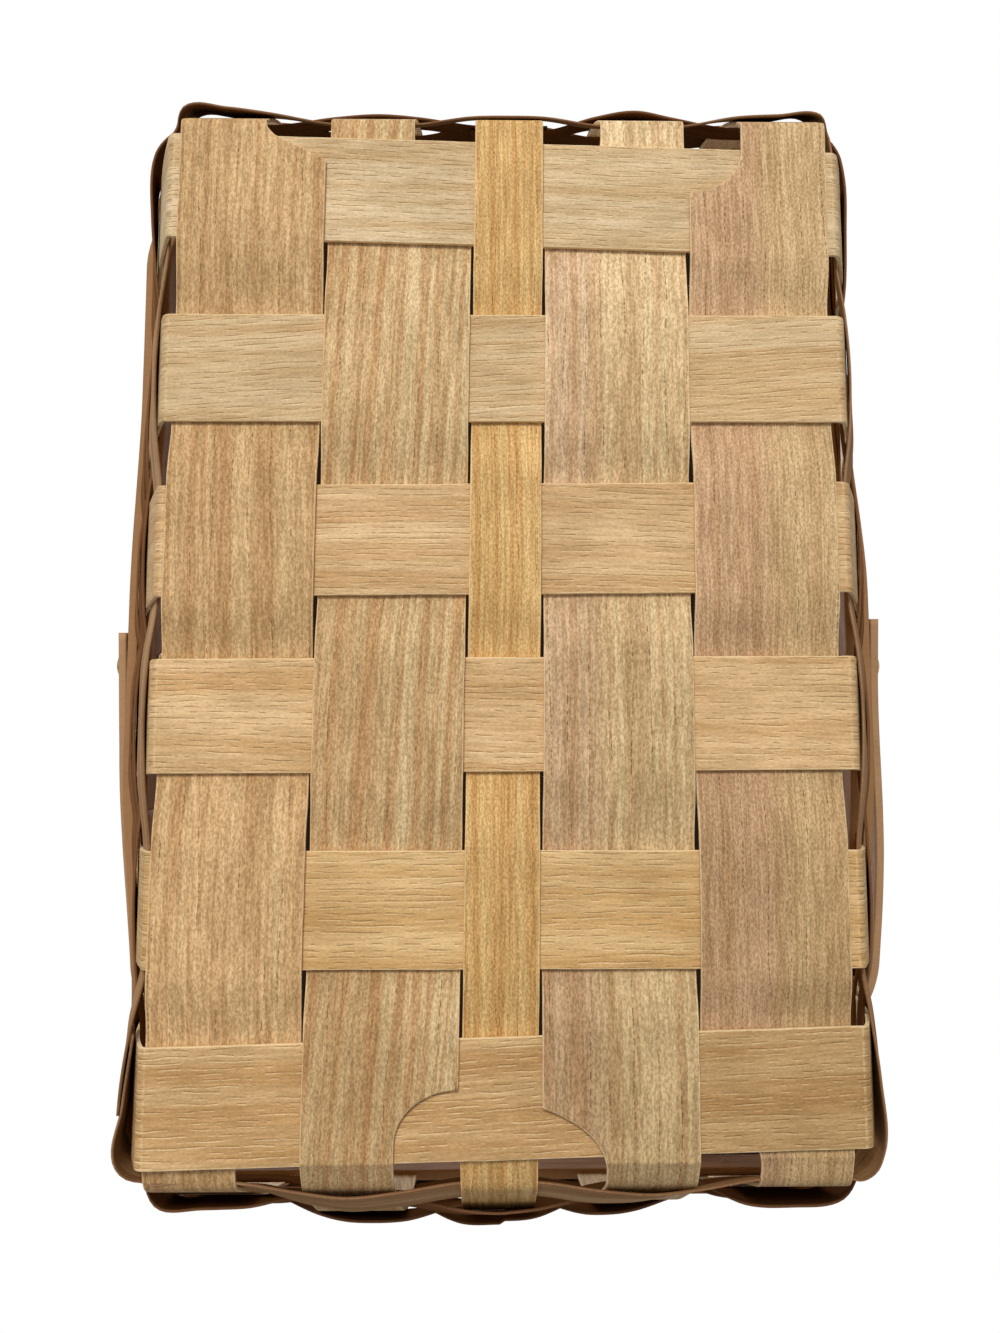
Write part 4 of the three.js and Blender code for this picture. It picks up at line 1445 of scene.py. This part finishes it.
def arched(knots: np.ndarray, values: np.ndarray, places: np.ndarray) -> np.ndarray:
    """Runs a smooth curve through knots, as a springy strip does between what holds it.

    Args:
        knots: Places of the knots, in order.
        values: Value at each knot.
        places: Where the curve is wanted.

    Returns:
        The curve's values.
    """
    after = np.clip(np.searchsorted(knots, places), 1, len(knots) - 1)
    gaps = knots[1:] - knots[:-1]
    rises = (values[1:] - values[:-1]) / gaps
    inner = (rises[:-1] * gaps[1:] + rises[1:] * gaps[:-1]) / (gaps[1:] + gaps[:-1])
    tangents = np.concatenate([rises[:1], inner, rises[-1:]])
    gap = gaps[after - 1]
    share = (places - knots[after - 1]) / gap
    squared, cubed = share**2, share**3
    return ((2 * cubed - 3 * squared + 1) * values[after - 1] + (3 * squared - 2 * cubed) * values[after]
            + (cubed - 2 * squared + share) * gap * tangents[after - 1]
            + (cubed - squared) * gap * tangents[after])


@dataclass(frozen=True)
class WeaverPlan:
    """Sizes of the weaver rows, where each laps over its own start, and where it stands off.

    Attributes:
        lap_uprights: Number of the upright at which each row starts and ends.
        usual_bulge: How far a row's lower edge stands off an upright, in millimetres, at the
            upright's first edge, middle and last edge.
        corner_shifts: How far each row's middle is moved out at the four corners, in millimetres.
        corner_bulges: How far each row's lower edge stands off there, in millimetres.
        flat: Rows and uprights where the whole strip stands off, and not its lower edge alone.
        bulges: The same as usual_bulge where it differs, by row and number of the upright.
    """

    width: float = 19.5 * MM
    thickness: float = 0.95 * MM
    seat: float = 0.08 * MM
    gap: float = 0.05 * MM
    first: float = 8 * MM
    lap_uprights: tuple[int, ...] = (16, 8, 5, 14, 1)
    lap_overhang: float = 3 * MM
    step: float = 2 * MM
    slide: float = 0.5 * MM
    usual_bulge: tuple[float, float, float] = (0.0, 0.8, 0.0)
    corner_shifts: tuple[tuple[float, ...], ...] = (
        (-3.6, -3.6, -3.8, -2.6), (-2.6, -2.6, -3.2, -4.0), (-1.0, -1.0, -1.0, -1.0),
        (0.0, 0.0, 0.0, 0.0), (0.0, 0.0, 0.0, 0.0),
    )
    corner_bulges: tuple[tuple[float, ...], ...] = (
        (4.0, 4.0, 4.2, 3.8), (4.0, 4.0, 4.4, 3.8), (3.0, 3.0, 3.0, 3.0),
        (2.0, 2.0, 2.0, 2.0), (1.0, 1.0, 1.0, 1.0),
    )
    flat: tuple[tuple[int, int], ...] = ((1, 18), (1, 20))
    bulges: dict[tuple[int, int], tuple[float, float, float]] = field(default_factory=lambda: {
        (1, 6): (1.6, 1.3, 0.5), (1, 8): (0.0, 0.2, 0.0), (1, 10): (0.8, 2.6, 3.0),
        (1, 16): (0.6, 3.3, 4.9), (1, 0): (3.1, 2.3, 0.1), (1, 18): (0.3, 1.8, 0.4),
        (1, 20): (0.4, 1.6, 0.3), (2, 5): (0.2, 1.0, 1.4), (2, 11): (2.8, 2.4, 0.6),
        (2, 7): (0.6, 3.0, 0.6), (2, 9): (0.2, 1.2, 0.2), (2, 17): (4.0, 4.2, 3.4),
        (2, 19): (2.0, 3.0, 2.0), (2, 21): (5.0, 5.6, 4.4), (3, 18): (1.6, 2.7, 2.3),
        (3, 16): (1.5, 3.4, 4.0), (3, 0): (4.0, 3.4, 1.5), (3, 20): (2.6, 4.2, 2.0),
        (4, 17): (2.8, 3.2, 2.6), (4, 19): (5.0, 5.2, 4.6), (4, 21): (3.4, 4.6, 3.8),
        (3, 6): (1.2, 1.8, 1.4), (3, 8): (1.4, 1.8, 1.4), (3, 10): (1.4, 1.8, 1.2),
        (4, 7): (1.0, 1.5, 1.0), (4, 9): (1.0, 1.5, 1.0),
    })


@dataclass(frozen=True)
class Weavers:
    """The rows that pass outside and inside the uprights in turn."""

    workshop: Workshop
    plan: WeaverPlan

    def _knots(self, row: int, level: Level) -> np.ndarray:
        """Works out the knots of a row's path.

        Args:
            row: The row's number from the base.
            level: Its level line.

        Returns:
            Distance, offset and standing off at each knot.
        """
        plan = self.plan
        count = len(level.spans)
        first = plan.lap_uprights[row - 1]
        close = PLAN.thickness / 2 + plan.seat + plan.thickness / 2
        knots: list[tuple[float, float, float]] = []
        for step in range(count + 1):
            upright = (first + step) % count
            turns = level.perimeter if first + step >= count else 0.0
            side = Side.OUTSIDE if (upright + row) % 2 == 1 else Side.INSIDE
            lapped = plan.thickness + PLAN.clearance if step == count else 0.0
            bulges = plan.bulges.get((row, upright), plan.usual_bulge)
            if side is Side.INSIDE:
                bulges = (0.0, 0.3, 0.0)
            start, end = level.spans[upright]
            places = [start, (start + end) / 2, end]
            if step == 0:
                places[0] -= plan.lap_overhang
            if step == count:
                places[0] -= plan.lap_overhang + PLAN.crossing_margin
                bulges = (bulges[0], bulges[1], bulges[1])
            flat = (row, upright) in plan.flat
            for place, bulge in zip(places, bulges):
                tilt = 0.0 if flat or side is Side.INSIDE else bulge * MM
                knots.append((place + turns, side.value * (close + lapped + bulge * MM - tilt / 2), tilt))
        for corner in range(4):
            part = 2 * corner + 1
            middle = level.starts[part] + level.arc / 2
            middle += level.perimeter if middle < knots[0][0] else 0.0
            before = max(knot for knot in knots if knot[0] < middle)
            after = min(knot for knot in knots if knot[0] > middle)
            shift = plan.corner_shifts[row - 1][corner] * MM
            bulge = plan.corner_bulges[row - 1][corner] * MM
            knots.append((middle, (before[1] + after[1]) / 2 + shift, bulge))
        return np.array(sorted(knots))

    def row(self, row: int) -> bpy.types.Object:
        """Makes one row.

        Args:
            row: The row's number from the base.

        Returns:
            The piece.
        """
        plan = self.plan
        length = plan.first + plan.width / 2 + (row - 1) * (plan.width + plan.gap)
        level = Level(*(wall.at_length(length) for wall in (SIDE_WALL, FRONT_WALL, BACK_WALL)))
        knots, values, off = self._knots(row, level).T
        last = knots[-2] + 3 * MM if row == 1 else knots[-1] + plan.lap_overhang
        distances = np.arange(knots[0], last, plan.step)
        offsets = arched(knots, values, distances)
        leans = np.clip(arched(knots, off, distances), 0, None) / plan.width
        rng = np.random.default_rng(100 + row)
        slides = drift_curve(rng, distances, 55 * MM) * plan.slide
        guide = level.guide(distances, offsets, plan.width, plan.thickness, -plan.thickness / 2, 1.0,
                            slides, leans)
        return self.workshop.strip(f"weaver_strip_{row}", guide, Section(8, 0.3 * MM),
                                   weaver_finish(row - 1), Warp(0.06 * MM, 45 * MM, 0.3 * MM, 7.1 * row + 90))

    def build(self) -> None:
        """Makes all rows and puts each in place of its node."""
        for row in range(1, len(self.plan.lap_uprights) + 1):
            report(self.row(row), BASKET, "weaver_wood", f"weaver_row_{row}")


@dataclass(frozen=True)
class RimPlan:
    """Sizes of the rim bands and their tacks."""

    height: float = 25 * MM
    thickness: float = 4 * MM
    clearance: float = 0.3 * MM
    scarf: float = 60 * MM
    feather: float = 0.8 * MM
    cut_share: float = 0.78
    seat: float = 0.1 * MM
    step: float = 4 * MM
    tack_radius: float = 2.6 * MM
    tack_height: float = 0.9 * MM
    tack_reach: float = 1 * MM
    tack_shank: float = 0.7 * MM
    tack_sides: int = 20

    @property
    def offset(self) -> float:
        """Distance from the uprights' middle to a band's middle."""
        return PLAN.thickness / 2 + self.clearance + self.thickness / 2


class Rim:
    """Two bentwood bands with the uprights between them, and the tacks through all three."""

    def __init__(self, workshop: Workshop, plan: RimPlan) -> None:
        """Keeps the workshop and works out the rim's level line."""
        self.workshop, self.plan = workshop, plan
        middle = SIDE_WALL.height - plan.height / 2
        self.level = Level(*(wall.at_height(middle) for wall in (SIDE_WALL, FRONT_WALL, FRONT_WALL)))

    def band(self, name: str, side: Side, gap: int) -> bpy.types.Object:
        """Makes one band with its long lapped ends.

        Args:
            name: Name of the piece.
            side: Which face of the uprights it lies on.
            gap: Number of the gap between uprights where it starts.

        Returns:
            The piece.
        """
        plan, level = self.plan, self.level
        start = (level.spans[gap][1] + level.spans[gap + 1][0]) / 2
        end = start + level.perimeter
        last = end + plan.cut_share * plan.scarf
        steps = int((last - start) / plan.step)
        extra = [start + plan.scarf, end - 2 * plan.seat, end - plan.seat]
        distances = np.sort(np.concatenate([np.linspace(start, last, steps), extra]))
        half = plan.thickness / 2

        def scarf(run: np.ndarray) -> np.ndarray:
            """Returns the height of the slanted cut after a run of it."""
            return plan.feather - half + (plan.thickness - plan.feather) * np.clip(run / plan.scarf, 0, 1)

        outer = scarf(distances - start)
        inner = np.where(distances < end - 1.5 * plan.seat, -half, scarf(distances - end) + plan.seat)
        rng = np.random.default_rng(7 + gap)
        slides = drift_curve(rng, distances, 90 * MM) * 0.35 * MM
        offsets = np.full(len(distances), side.value * plan.offset)
        guide = level.guide(distances, offsets, plan.height, outer - inner, inner, 0.0, slides)
        return self.workshop.strip(name, guide, Section(10, 0.55 * MM, 4), RIM_FINISH,
                                   Warp(0.0, 80 * MM, 0.3 * MM, 11.0 + gap))

    def tacks(self) -> bpy.types.Object:
        """Sets a tack at each upright through the bands.

        Returns:
            All tacks as one piece.
        """
        plan = self.plan
        points, normals = [], []
        for start, end in self.level.spans:
            point, normal, slope = self.level.place((start + end) / 2)
            points.append(SETTLING.move(point[None])[0])
            normals.append(unit(normal - slope * UP))
        seat = plan.offset + plan.thickness / 2
        depth = -seat - plan.tack_reach
        profile = [(0.0, depth), (plan.tack_shank * 0.3, depth), (plan.tack_shank, depth + plan.tack_reach),
                   (plan.tack_shank, seat), (plan.tack_radius * 0.97, seat),
                   (plan.tack_radius, seat + plan.tack_height * 0.15),
                   (plan.tack_radius * 0.82, seat + plan.tack_height * 0.6),
                   (plan.tack_radius * 0.45, seat + plan.tack_height * 0.92), (0.0, seat + plan.tack_height)]
        tack = turned("tack_shape", profile, Matrix.Identity(4), plan.tack_sides)
        piece = TackTree().make("rim_tacks", points, normals, tack, STEEL.make("tack_steel_finish"))
        bpy.data.objects.remove(tack)
        return piece

    def build(self) -> None:
        """Makes the bands and the tacks and puts them in place of their nodes."""
        report(self.band("rim_band_outside", Side.OUTSIDE, 3), BASKET, "rim_wood", "rim_outer_band")
        report(self.band("rim_band_inside", Side.INSIDE, 14), BASKET, "rim_wood", "rim_inner_band")
        nodes = [f"rim_tack_{number + 1}" for number in range(len(self.level.spans))]
        report(self.tacks(), BASKET, "tack_steel", *nodes)


def turned(name: str, profile: Sequence[tuple[float, float]], matrix: Matrix, sides: int) -> bpy.types.Object:
    """Makes a turned piece from its profile.

    Args:
        name: Name of the object.
        profile: Radius and height of each point, from one end of the axis to the other.
        matrix: Takes the local Z axis to the piece's place.
        sides: Faces round the axis.

    Returns:
        The closed piece.
    """
    work = bmesh.new()
    rings = []
    for radius, height in profile:
        if radius == 0:
            rings.append([work.verts.new((0, 0, height))])
            continue
        angles = [2 * math.pi * step / sides for step in range(sides)]
        rings.append([work.verts.new((radius * math.cos(a), radius * math.sin(a), height)) for a in angles])
    for low, high in zip(rings, rings[1:]):
        for step in range(sides):
            after = (step + 1) % sides
            corners = [low[step % len(low)], low[after % len(low)], high[after % len(high)],
                       high[step % len(high)]]
            work.faces.new(list(dict.fromkeys(corners)))
    if len(rings[0]) > 1 and profile[0] == profile[-1]:
        bmesh.ops.remove_doubles(work, verts=work.verts, dist=0.001 * MM)
    bmesh.ops.transform(work, matrix=matrix, verts=work.verts)
    bmesh.ops.recalc_face_normals(work, faces=work.faces)
    mesh = bpy.data.meshes.new(name)
    work.to_mesh(mesh)
    work.free()
    mesh.shade_smooth()
    mesh.set_sharp_from_angle(angle=SHARP_ANGLE)
    return add_object(name, mesh)


class TackTree(PieceTree):
    """Sets one shape on each point, along the point's own direction."""

    NAME = "tack_on_points"
    INPUTS = (
        ("Shape", "NodeSocketObject", None),
        ("Least Size", "NodeSocketFloat", 0.94),
        ("Most Size", "NodeSocketFloat", 1.06),
        ("Seed", "NodeSocketInt", 5),
        ("Material", "NodeSocketMaterial", None),
    )

    def _build(self, graph: Graph, source: bpy.types.Node) -> Socket:
        """Adds the nodes that aim, size and place the shape."""
        given = source.outputs
        shape = graph.wire("GeometryNodeObjectInfo", {"Object": given["Shape"]})
        aim = graph.wire("FunctionNodeAlignRotationToVector", {"Vector": graph.read("axis", "FLOAT_VECTOR")},
                         axis="Z")
        size = graph.wire("FunctionNodeRandomValue", {"Seed": given["Seed"]}, data_type="FLOAT")
        low, high = [socket for socket in size.inputs if socket.enabled and socket.name in ("Min", "Max")]
        graph.feed(low, given["Least Size"])
        graph.feed(high, given["Most Size"])
        drawn = next(socket for socket in size.outputs if socket.enabled)
        spread = graph.wire("GeometryNodeInstanceOnPoints", {
            "Points": given["Geometry"], "Instance": shape.outputs["Geometry"],
            "Rotation": aim.outputs[0], "Scale": graph.combine(drawn, drawn, 1.0)})
        return spread.outputs[0]

    def make(self, name: str, points: Sequence[np.ndarray], axes: Sequence[np.ndarray],
             shape: bpy.types.Object, material: bpy.types.Material) -> bpy.types.Object:
        """Sets the shape on the points and bakes the result.

        Args:
            name: Name of the piece.
            points: Where each copy stands.
            axes: Where each copy's Z axis points.
            shape: The shape to repeat.
            material: Its material.

        Returns:
            The plain piece.
        """
        mesh = bpy.data.meshes.new(f"{name}_points")
        mesh.from_pydata([tuple(point) for point in points], [], [])
        store(mesh, "axis", axes)
        source = add_object(f"{name}_points", mesh)
        piece = self._bake(source, name, {"Shape": shape, "Material": material})
        piece.data.set_sharp_from_angle(angle=SHARP_ANGLE)
        return piece


@dataclass(frozen=True)
class HandlePlan:
    """Sizes of the handle and its pivots."""

    width: float = 18 * MM
    thickness: float = 3.6 * MM
    tail: float = 14.6 * MM
    right_tail: float = 20.8 * MM
    arm: float = 130 * MM
    spread: float = 3.2 * MM
    pinch: float = 4.6 * MM
    spread_reach: float = 172 * MM
    bow: float = 80 * MM
    shoulder: float = 6 * MM
    spacing: float = 0.8 * MM
    drop: float = 9 * MM
    rivet_radius: float = 2.5 * MM
    head_radius: float = 5.5 * MM
    head_height: float = 2.5 * MM
    peen_radius: float = 4 * MM
    peen_height: float = 1.5 * MM
    washer_radius: float = 5.5 * MM
    washer_thickness: float = 0.7 * MM
    hole_clearance: float = 0.3 * MM
    seat: float = 0.1 * MM
    arm_points: int = 50
    bow_points: int = 121
    sides: int = 48


class Handle:
    """The swinging bow and the two rivets that it turns on."""

    def __init__(self, workshop: Workshop, plan: HandlePlan, rim: Rim) -> None:
        """Keeps the workshop and works out where the pivots stand."""
        self.workshop, self.plan = workshop, plan
        middles = PLAN.cross_middles()
        self.pivot = np.array([(middles[2] + middles[3]) / 2, 0.0, SIDE_WALL.height - plan.drop])
        band = rim.plan
        self.stack = 2 * (rim.plan.offset + band.thickness / 2) * math.hypot(1, SIDE_WALL.rim)
        self.rim_top = rim.level.side.out + self.stack / 2 + SIDE_WALL.rim * band.height / 2
        self.arm_inner = self.rim_top + plan.spacing
        reach = plan.arm + plan.shoulder
        self.lift = math.asin((plan.drop + PLAN.clearance) / math.hypot(reach, plan.width / 2))
        self.lift += math.atan(plan.width / 2 / reach)

    def bow(self) -> bpy.types.Object:
        """Makes the bow with its two straight arms.

        Returns:
            The piece.
        """
        plan = self.plan
        middle = self.arm_inner + plan.thickness / 2
        arm = np.linspace(plan.tail, -plan.arm, plan.arm_points)[:-1]
        right_arm = np.linspace(plan.right_tail, -plan.arm, plan.arm_points)[:-1]
        angles = np.linspace(0, math.pi, plan.bow_points)
        points = [(x, middle) for x in right_arm]
        points += [(-plan.arm - plan.bow * math.sin(a), middle * math.cos(a)) for a in angles]
        points += [(x, -middle) for x in arm[::-1]]
        bends = [(max(0.0, -x / plan.spread_reach), y) for x, y in points]
        points = [(x, y + plan.spread * math.sin(math.pi * min(share, 1)) ** 2 if y > 0
                   else y + plan.pinch * float(ease(share * 1.6 - 0.4)))
                  for (x, _), (share, y) in zip(points, bends)]
        faces = [(0.0, 1.0)] * len(arm)
        faces += [(-math.sin(a) / plan.bow, math.cos(a) / middle) for a in angles]
        faces += [(0.0, -1.0)] * len(arm)
        turn = np.array(Matrix.Rotation(self.lift, 3, "Y"))
        flat = np.array([(x, y, 0.0) for x, y in points]) @ turn.T + self.pivot
        outward = unit(np.array([(x, y, 0.0) for x, y in faces])) @ turn.T
        guide = Guide(flat, UP @ turn.T, outward, -plan.width / 2, plan.width / 2, plan.thickness,
                      -plan.thickness / 2, 0.0, 0.0)
        return self.workshop.strip("handle_bow", guide, Section(8, 0.9 * MM, 4), HANDLE_FINISH,
                                   Warp(0.0, 80 * MM, 0.2 * MM, 31.0), "bow_wood")

    def _at_pivot(self, side: int) -> Matrix:
        """Returns the matrix that takes a turned piece's axis to one pivot, pointing outwards."""
        return Matrix.Translation(self.pivot) @ Matrix.Rotation(-side * math.pi / 2, 4, "X")

    def _washer(self, name: str, face: float, side: int) -> bpy.types.Object:
        """Makes a washer with its outer face at a distance from the middle of the basket."""
        plan = self.plan
        hole, soft = plan.rivet_radius + plan.hole_clearance, plan.washer_thickness * 0.25
        low, edge = face - plan.washer_thickness, plan.washer_radius
        profile = [(hole, low), (edge - soft, low), (edge, low + soft), (edge, face - soft),
                   (edge - soft, face), (hole, face), (hole, low)]
        return turned(name, profile, self._at_pivot(side), plan.sides)

    def _rivet(self, name: str, burr: float, side: int) -> bpy.types.Object:
        """Makes a rivet with a domed head outside and a hammered end inside."""
        plan, seat = self.plan, PLAN.clearance
        head = self.arm_inner + plan.thickness + seat
        peen = burr - plan.washer_thickness
        shares = ((1.0, 0.0), (0.985, 0.18), (0.9, 0.45), (0.75, 0.68), (0.55, 0.86), (0.3, 0.97))
        profile = [(0.0, peen - plan.peen_height), (plan.peen_radius * 0.45, peen - plan.peen_height),
                   (plan.peen_radius * 0.85, peen - plan.peen_height * 0.7), (plan.peen_radius, peen),
                   (plan.rivet_radius, peen), (plan.rivet_radius, head)]
        profile += [(plan.head_radius * wide, head + plan.head_height * high) for wide, high in shares]
        profile.append((0.0, head + plan.head_height))
        return turned(name, profile, self._at_pivot(side), plan.sides)

    def build(self) -> None:
        """Makes the bow and the hardware and puts them in place of their nodes."""
        report(self.bow(), HANDLE, "handle_wood", "swing_handle")
        plan, seat = self.plan, self.plan.seat
        face = self.rim_top - SIDE_WALL.rim * (plan.drop + plan.washer_radius)
        burr = face - self.stack - seat
        brass = BRASS.make("pivot_brass_finish")
        for word, side in (("left", -1), ("right", 1)):
            pieces = (
                (self._rivet(f"{word}_rivet", burr - seat, side), f"{word}_handle_rivet"),
                (self._washer(f"{word}_washer", self.arm_inner - seat, side), f"{word}_handle_washer"),
                (self._washer(f"{word}_burr", burr, side), f"{word}_rivet_burr"),
            )
            for piece, node in pieces:
                piece.data.materials.append(brass)
                report(piece, BASKET, "pivot_brass", node)


@dataclass(frozen=True)
class Studio:
    """Floor, backdrop, light and the photograph's camera.

    Attributes:
        floor_half: Half the floor's side.
        floor_level: Height of the floor, just below the base.
        floor_glow: Strength of the floor's own light.
        floor_colour: Its tone.
        ground_height: Height of the dark sheet that stands where the basket lay rim down on the ground; its
            darkness is painted shade.
        ground_inset: How far its edge lies inside the rim's level line.
        ground_corners: Number of its corners.
        interior_shade_colour: Its tone.
        soft_from: Direction from which the world's soft light is brightest.
        soft_least: Strength of that light on the far side.
        soft_most: Its strength on the near side.
        lamps: Name, place, side and watts of each lamp.
        lamp_aim: Point that the lamps look at.
        lens: Focal length of the photograph's camera in millimetres, for a film of film_width.
        film_width: Width of its film in millimetres.
        camera_place: Where it stands.
        camera_turn: How it is turned, in degrees.
    """

    floor_half: float = 12.0
    floor_level: float = -0.2 * MM
    floor_glow: float = 0.5
    floor_colour: Tone = (182, 182, 182)
    ground_height: float = 128.5 * MM
    ground_inset: float = 3 * MM
    ground_corners: int = 160
    interior_shade_colour: Tone = (36, 26, 19)
    soft_from: tuple[float, float, float] = (0.4, -0.1, -0.91)
    soft_least: float = 0.26
    soft_most: float = 0.46
    lamps: tuple[tuple[str, tuple[float, float, float], float, float], ...] = (
        ("key_below", (1.8, -0.5, -2.85), 1.0, 84.0), ("key_above", (0.7, -0.6, 2.5), 1.2, 38.0),
    )
    lamp_aim: tuple[float, float, float] = (0, 0, 0.06)
    lens: float = 31.06
    film_width: float = 36.0
    camera_place: tuple[float, float, float] = (-57.67 * MM, -7.11 * MM, -383.25 * MM)
    camera_turn: tuple[float, float, float] = (-173.432, 0.804, 90.081)

    def _bare(self, data: bpy.types.Material | bpy.types.World) -> Graph:
        """Empties the node tree of a material or a world and returns a graph that fills it."""
        data.use_nodes = True
        data.node_tree.nodes.clear()
        return Graph(data.node_tree)

    def _sheet(self, name: str, paint: str, corners: Sequence[tuple[float, float, float]]) -> Graph:
        """Makes a level sheet that faces up.

        Args:
            name: Name of the sheet.
            paint: Name of its material.
            corners: Its corners.

        Returns:
            The graph of its empty material.
        """
        mesh = bpy.data.meshes.new(name)
        mesh.from_pydata(corners, [], [tuple(range(len(corners)))])
        material = bpy.data.materials.new(paint)
        mesh.materials.append(material)
        add_object(name, mesh)
        return self._bare(material)

    def _mixed(self, graph: Graph, factor: Socket, first: Socket, second: Socket) -> None:
        """Ends a sheet's material in a mix of two shaders."""
        mix = graph.wire("ShaderNodeMixShader", {0: factor, 1: first, 2: second})
        graph.wire("ShaderNodeOutputMaterial", {"Surface": mix.outputs[0]})

    def world(self) -> None:
        """Makes the world white to the camera, to gloss and through glass, and dimmer as a light."""
        world = bpy.data.worlds.new("studio_world")
        bpy.context.scene.world = world
        graph = self._bare(world)
        path = graph.add("ShaderNodeLightPath").outputs
        seen = graph.math("MAXIMUM", path["Is Camera Ray"], path["Is Transmission Ray"])
        seen = graph.math("MAXIMUM", seen, path["Is Glossy Ray"])
        towards = graph.wire("ShaderNodeVectorMath", {
            0: graph.add("ShaderNodeTexCoord").outputs["Generated"],
            1: Vector(self.soft_from).normalized()}, operation="DOT_PRODUCT")
        level = graph.span(towards.outputs[1], 0.0, 1.0, self.soft_least, self.soft_most)
        strength = graph.math("MULTIPLY_ADD", seen, graph.math("SUBTRACT", 1.0, level), level)
        back = graph.wire("ShaderNodeBackground", {"Strength": strength, "Color": (1, 1, 1, 1)})
        graph.wire("ShaderNodeOutputWorld", {"Surface": back.outputs[0]})

    def floor(self) -> None:
        """Makes a pale floor that only rays from above can see, and that keeps the shadow."""
        half, low = self.floor_half, self.floor_level
        graph = self._sheet("floor", "floor_white", [
            (-half, -half, low), (half, -half, low), (half, half, low), (-half, half, low)])
        path = graph.add("ShaderNodeLightPath").outputs
        behind = graph.add("ShaderNodeNewGeometry").outputs["Backfacing"]
        unseen = graph.math("MAXIMUM", path["Is Shadow Ray"], path["Is Diffuse Ray"])
        matt = graph.wire("ShaderNodeBsdfDiffuse", {"Color": srgb(*self.floor_colour)})
        glow = graph.wire("ShaderNodeEmission", {"Strength": self.floor_glow})
        pale = graph.wire("ShaderNodeAddShader", {0: matt.outputs[0], 1: glow.outputs[0]})
        self._mixed(graph, graph.math("MAXIMUM", behind, unseen), pale.outputs[0],
                    graph.add("ShaderNodeBsdfTransparent").outputs[0])

    def ground(self, rim: Level) -> None:
        """Makes a dark sheet at the rim, where the basket lay rim down, which shows through the base as
        painted shade for its unlit inside.
        """
        corners = []
        for distance in np.linspace(rim.perimeter, 0, self.ground_corners, endpoint=False):
            point, normal, _ = rim.place(float(distance))
            inside = SETTLING.move((point - normal * self.ground_inset)[None])[0]
            corners.append((inside[0], inside[1], self.ground_height))
        graph = self._sheet("ground_behind", "interior_painted_shade", corners)
        seen = graph.add("ShaderNodeLightPath").outputs["Is Camera Ray"]
        behind = graph.add("ShaderNodeNewGeometry").outputs["Backfacing"]
        # The dark emission is painted shade, in place of the unlit inside of the basket.
        dark = graph.wire("ShaderNodeEmission", {"Color": srgb(*self.interior_shade_colour)})
        self._mixed(graph, graph.times(behind, seen),
                    graph.add("ShaderNodeBsdfTransparent").outputs[0], dark.outputs[0])

    def lamp(self, name: str, place: tuple[float, float, float], size: float, power: float) -> None:
        """Adds a square lamp that looks at the basket.

        Args:
            name: Name of the lamp.
            place: Where it hangs.
            size: Its side.
            power: Its power in watts.
        """
        data = bpy.data.lights.new(name, "AREA")
        data.shape, data.size, data.energy = "SQUARE", size, power
        obj = add_object(name, data)
        obj.location = place
        aim = Vector(self.lamp_aim) - Vector(place)
        obj.rotation_euler = aim.to_track_quat("-Z", "Y").to_euler()

    def camera(self) -> None:
        """Adds the camera of the photograph, below the basket and looking up at its base."""
        data = bpy.data.cameras.new("photo_camera")
        data.sensor_width, data.lens = self.film_width, self.lens
        obj = add_object("photo_camera", data)
        obj.location = self.camera_place
        obj.rotation_euler = [math.radians(turn) for turn in self.camera_turn]
        bpy.context.scene.camera = obj

    def build(self, rim: Level) -> None:
        """Sets up the whole studio."""
        bpy.context.scene.view_settings.view_transform = "Standard"
        self.world()
        self.floor()
        self.ground(rim)
        for lamp in self.lamps:
            self.lamp(*lamp)
        self.camera()


def report(piece: bpy.types.Object, body: str, slot: str, *nodes: str) -> None:
    """Puts a finished piece on its body, hides the nodes that it stands for and logs it.

    Args:
        piece: The piece.
        body: The body that it rides on.
        slot: The record's material slot; not used.
        *nodes: The nodes that it stands for.
    """
    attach(piece, body)
    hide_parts(*nodes)
    LOG.info("%s: %d faces on %s", piece.name, len(piece.data.polygons), body)


def main() -> None:
    """Builds the basket and its studio."""
    logging.basicConfig(level=logging.INFO, format="%(message)s")
    workshop = Workshop(StripTree(), WoodShop())
    Splints(workshop).build()
    Weavers(workshop, WeaverPlan()).build()
    rim = Rim(workshop, RimPlan())
    rim.build()
    Handle(workshop, HandlePlan(), rim).build()
    Studio().build(rim.level)


if __name__ == "__main__":
    main()
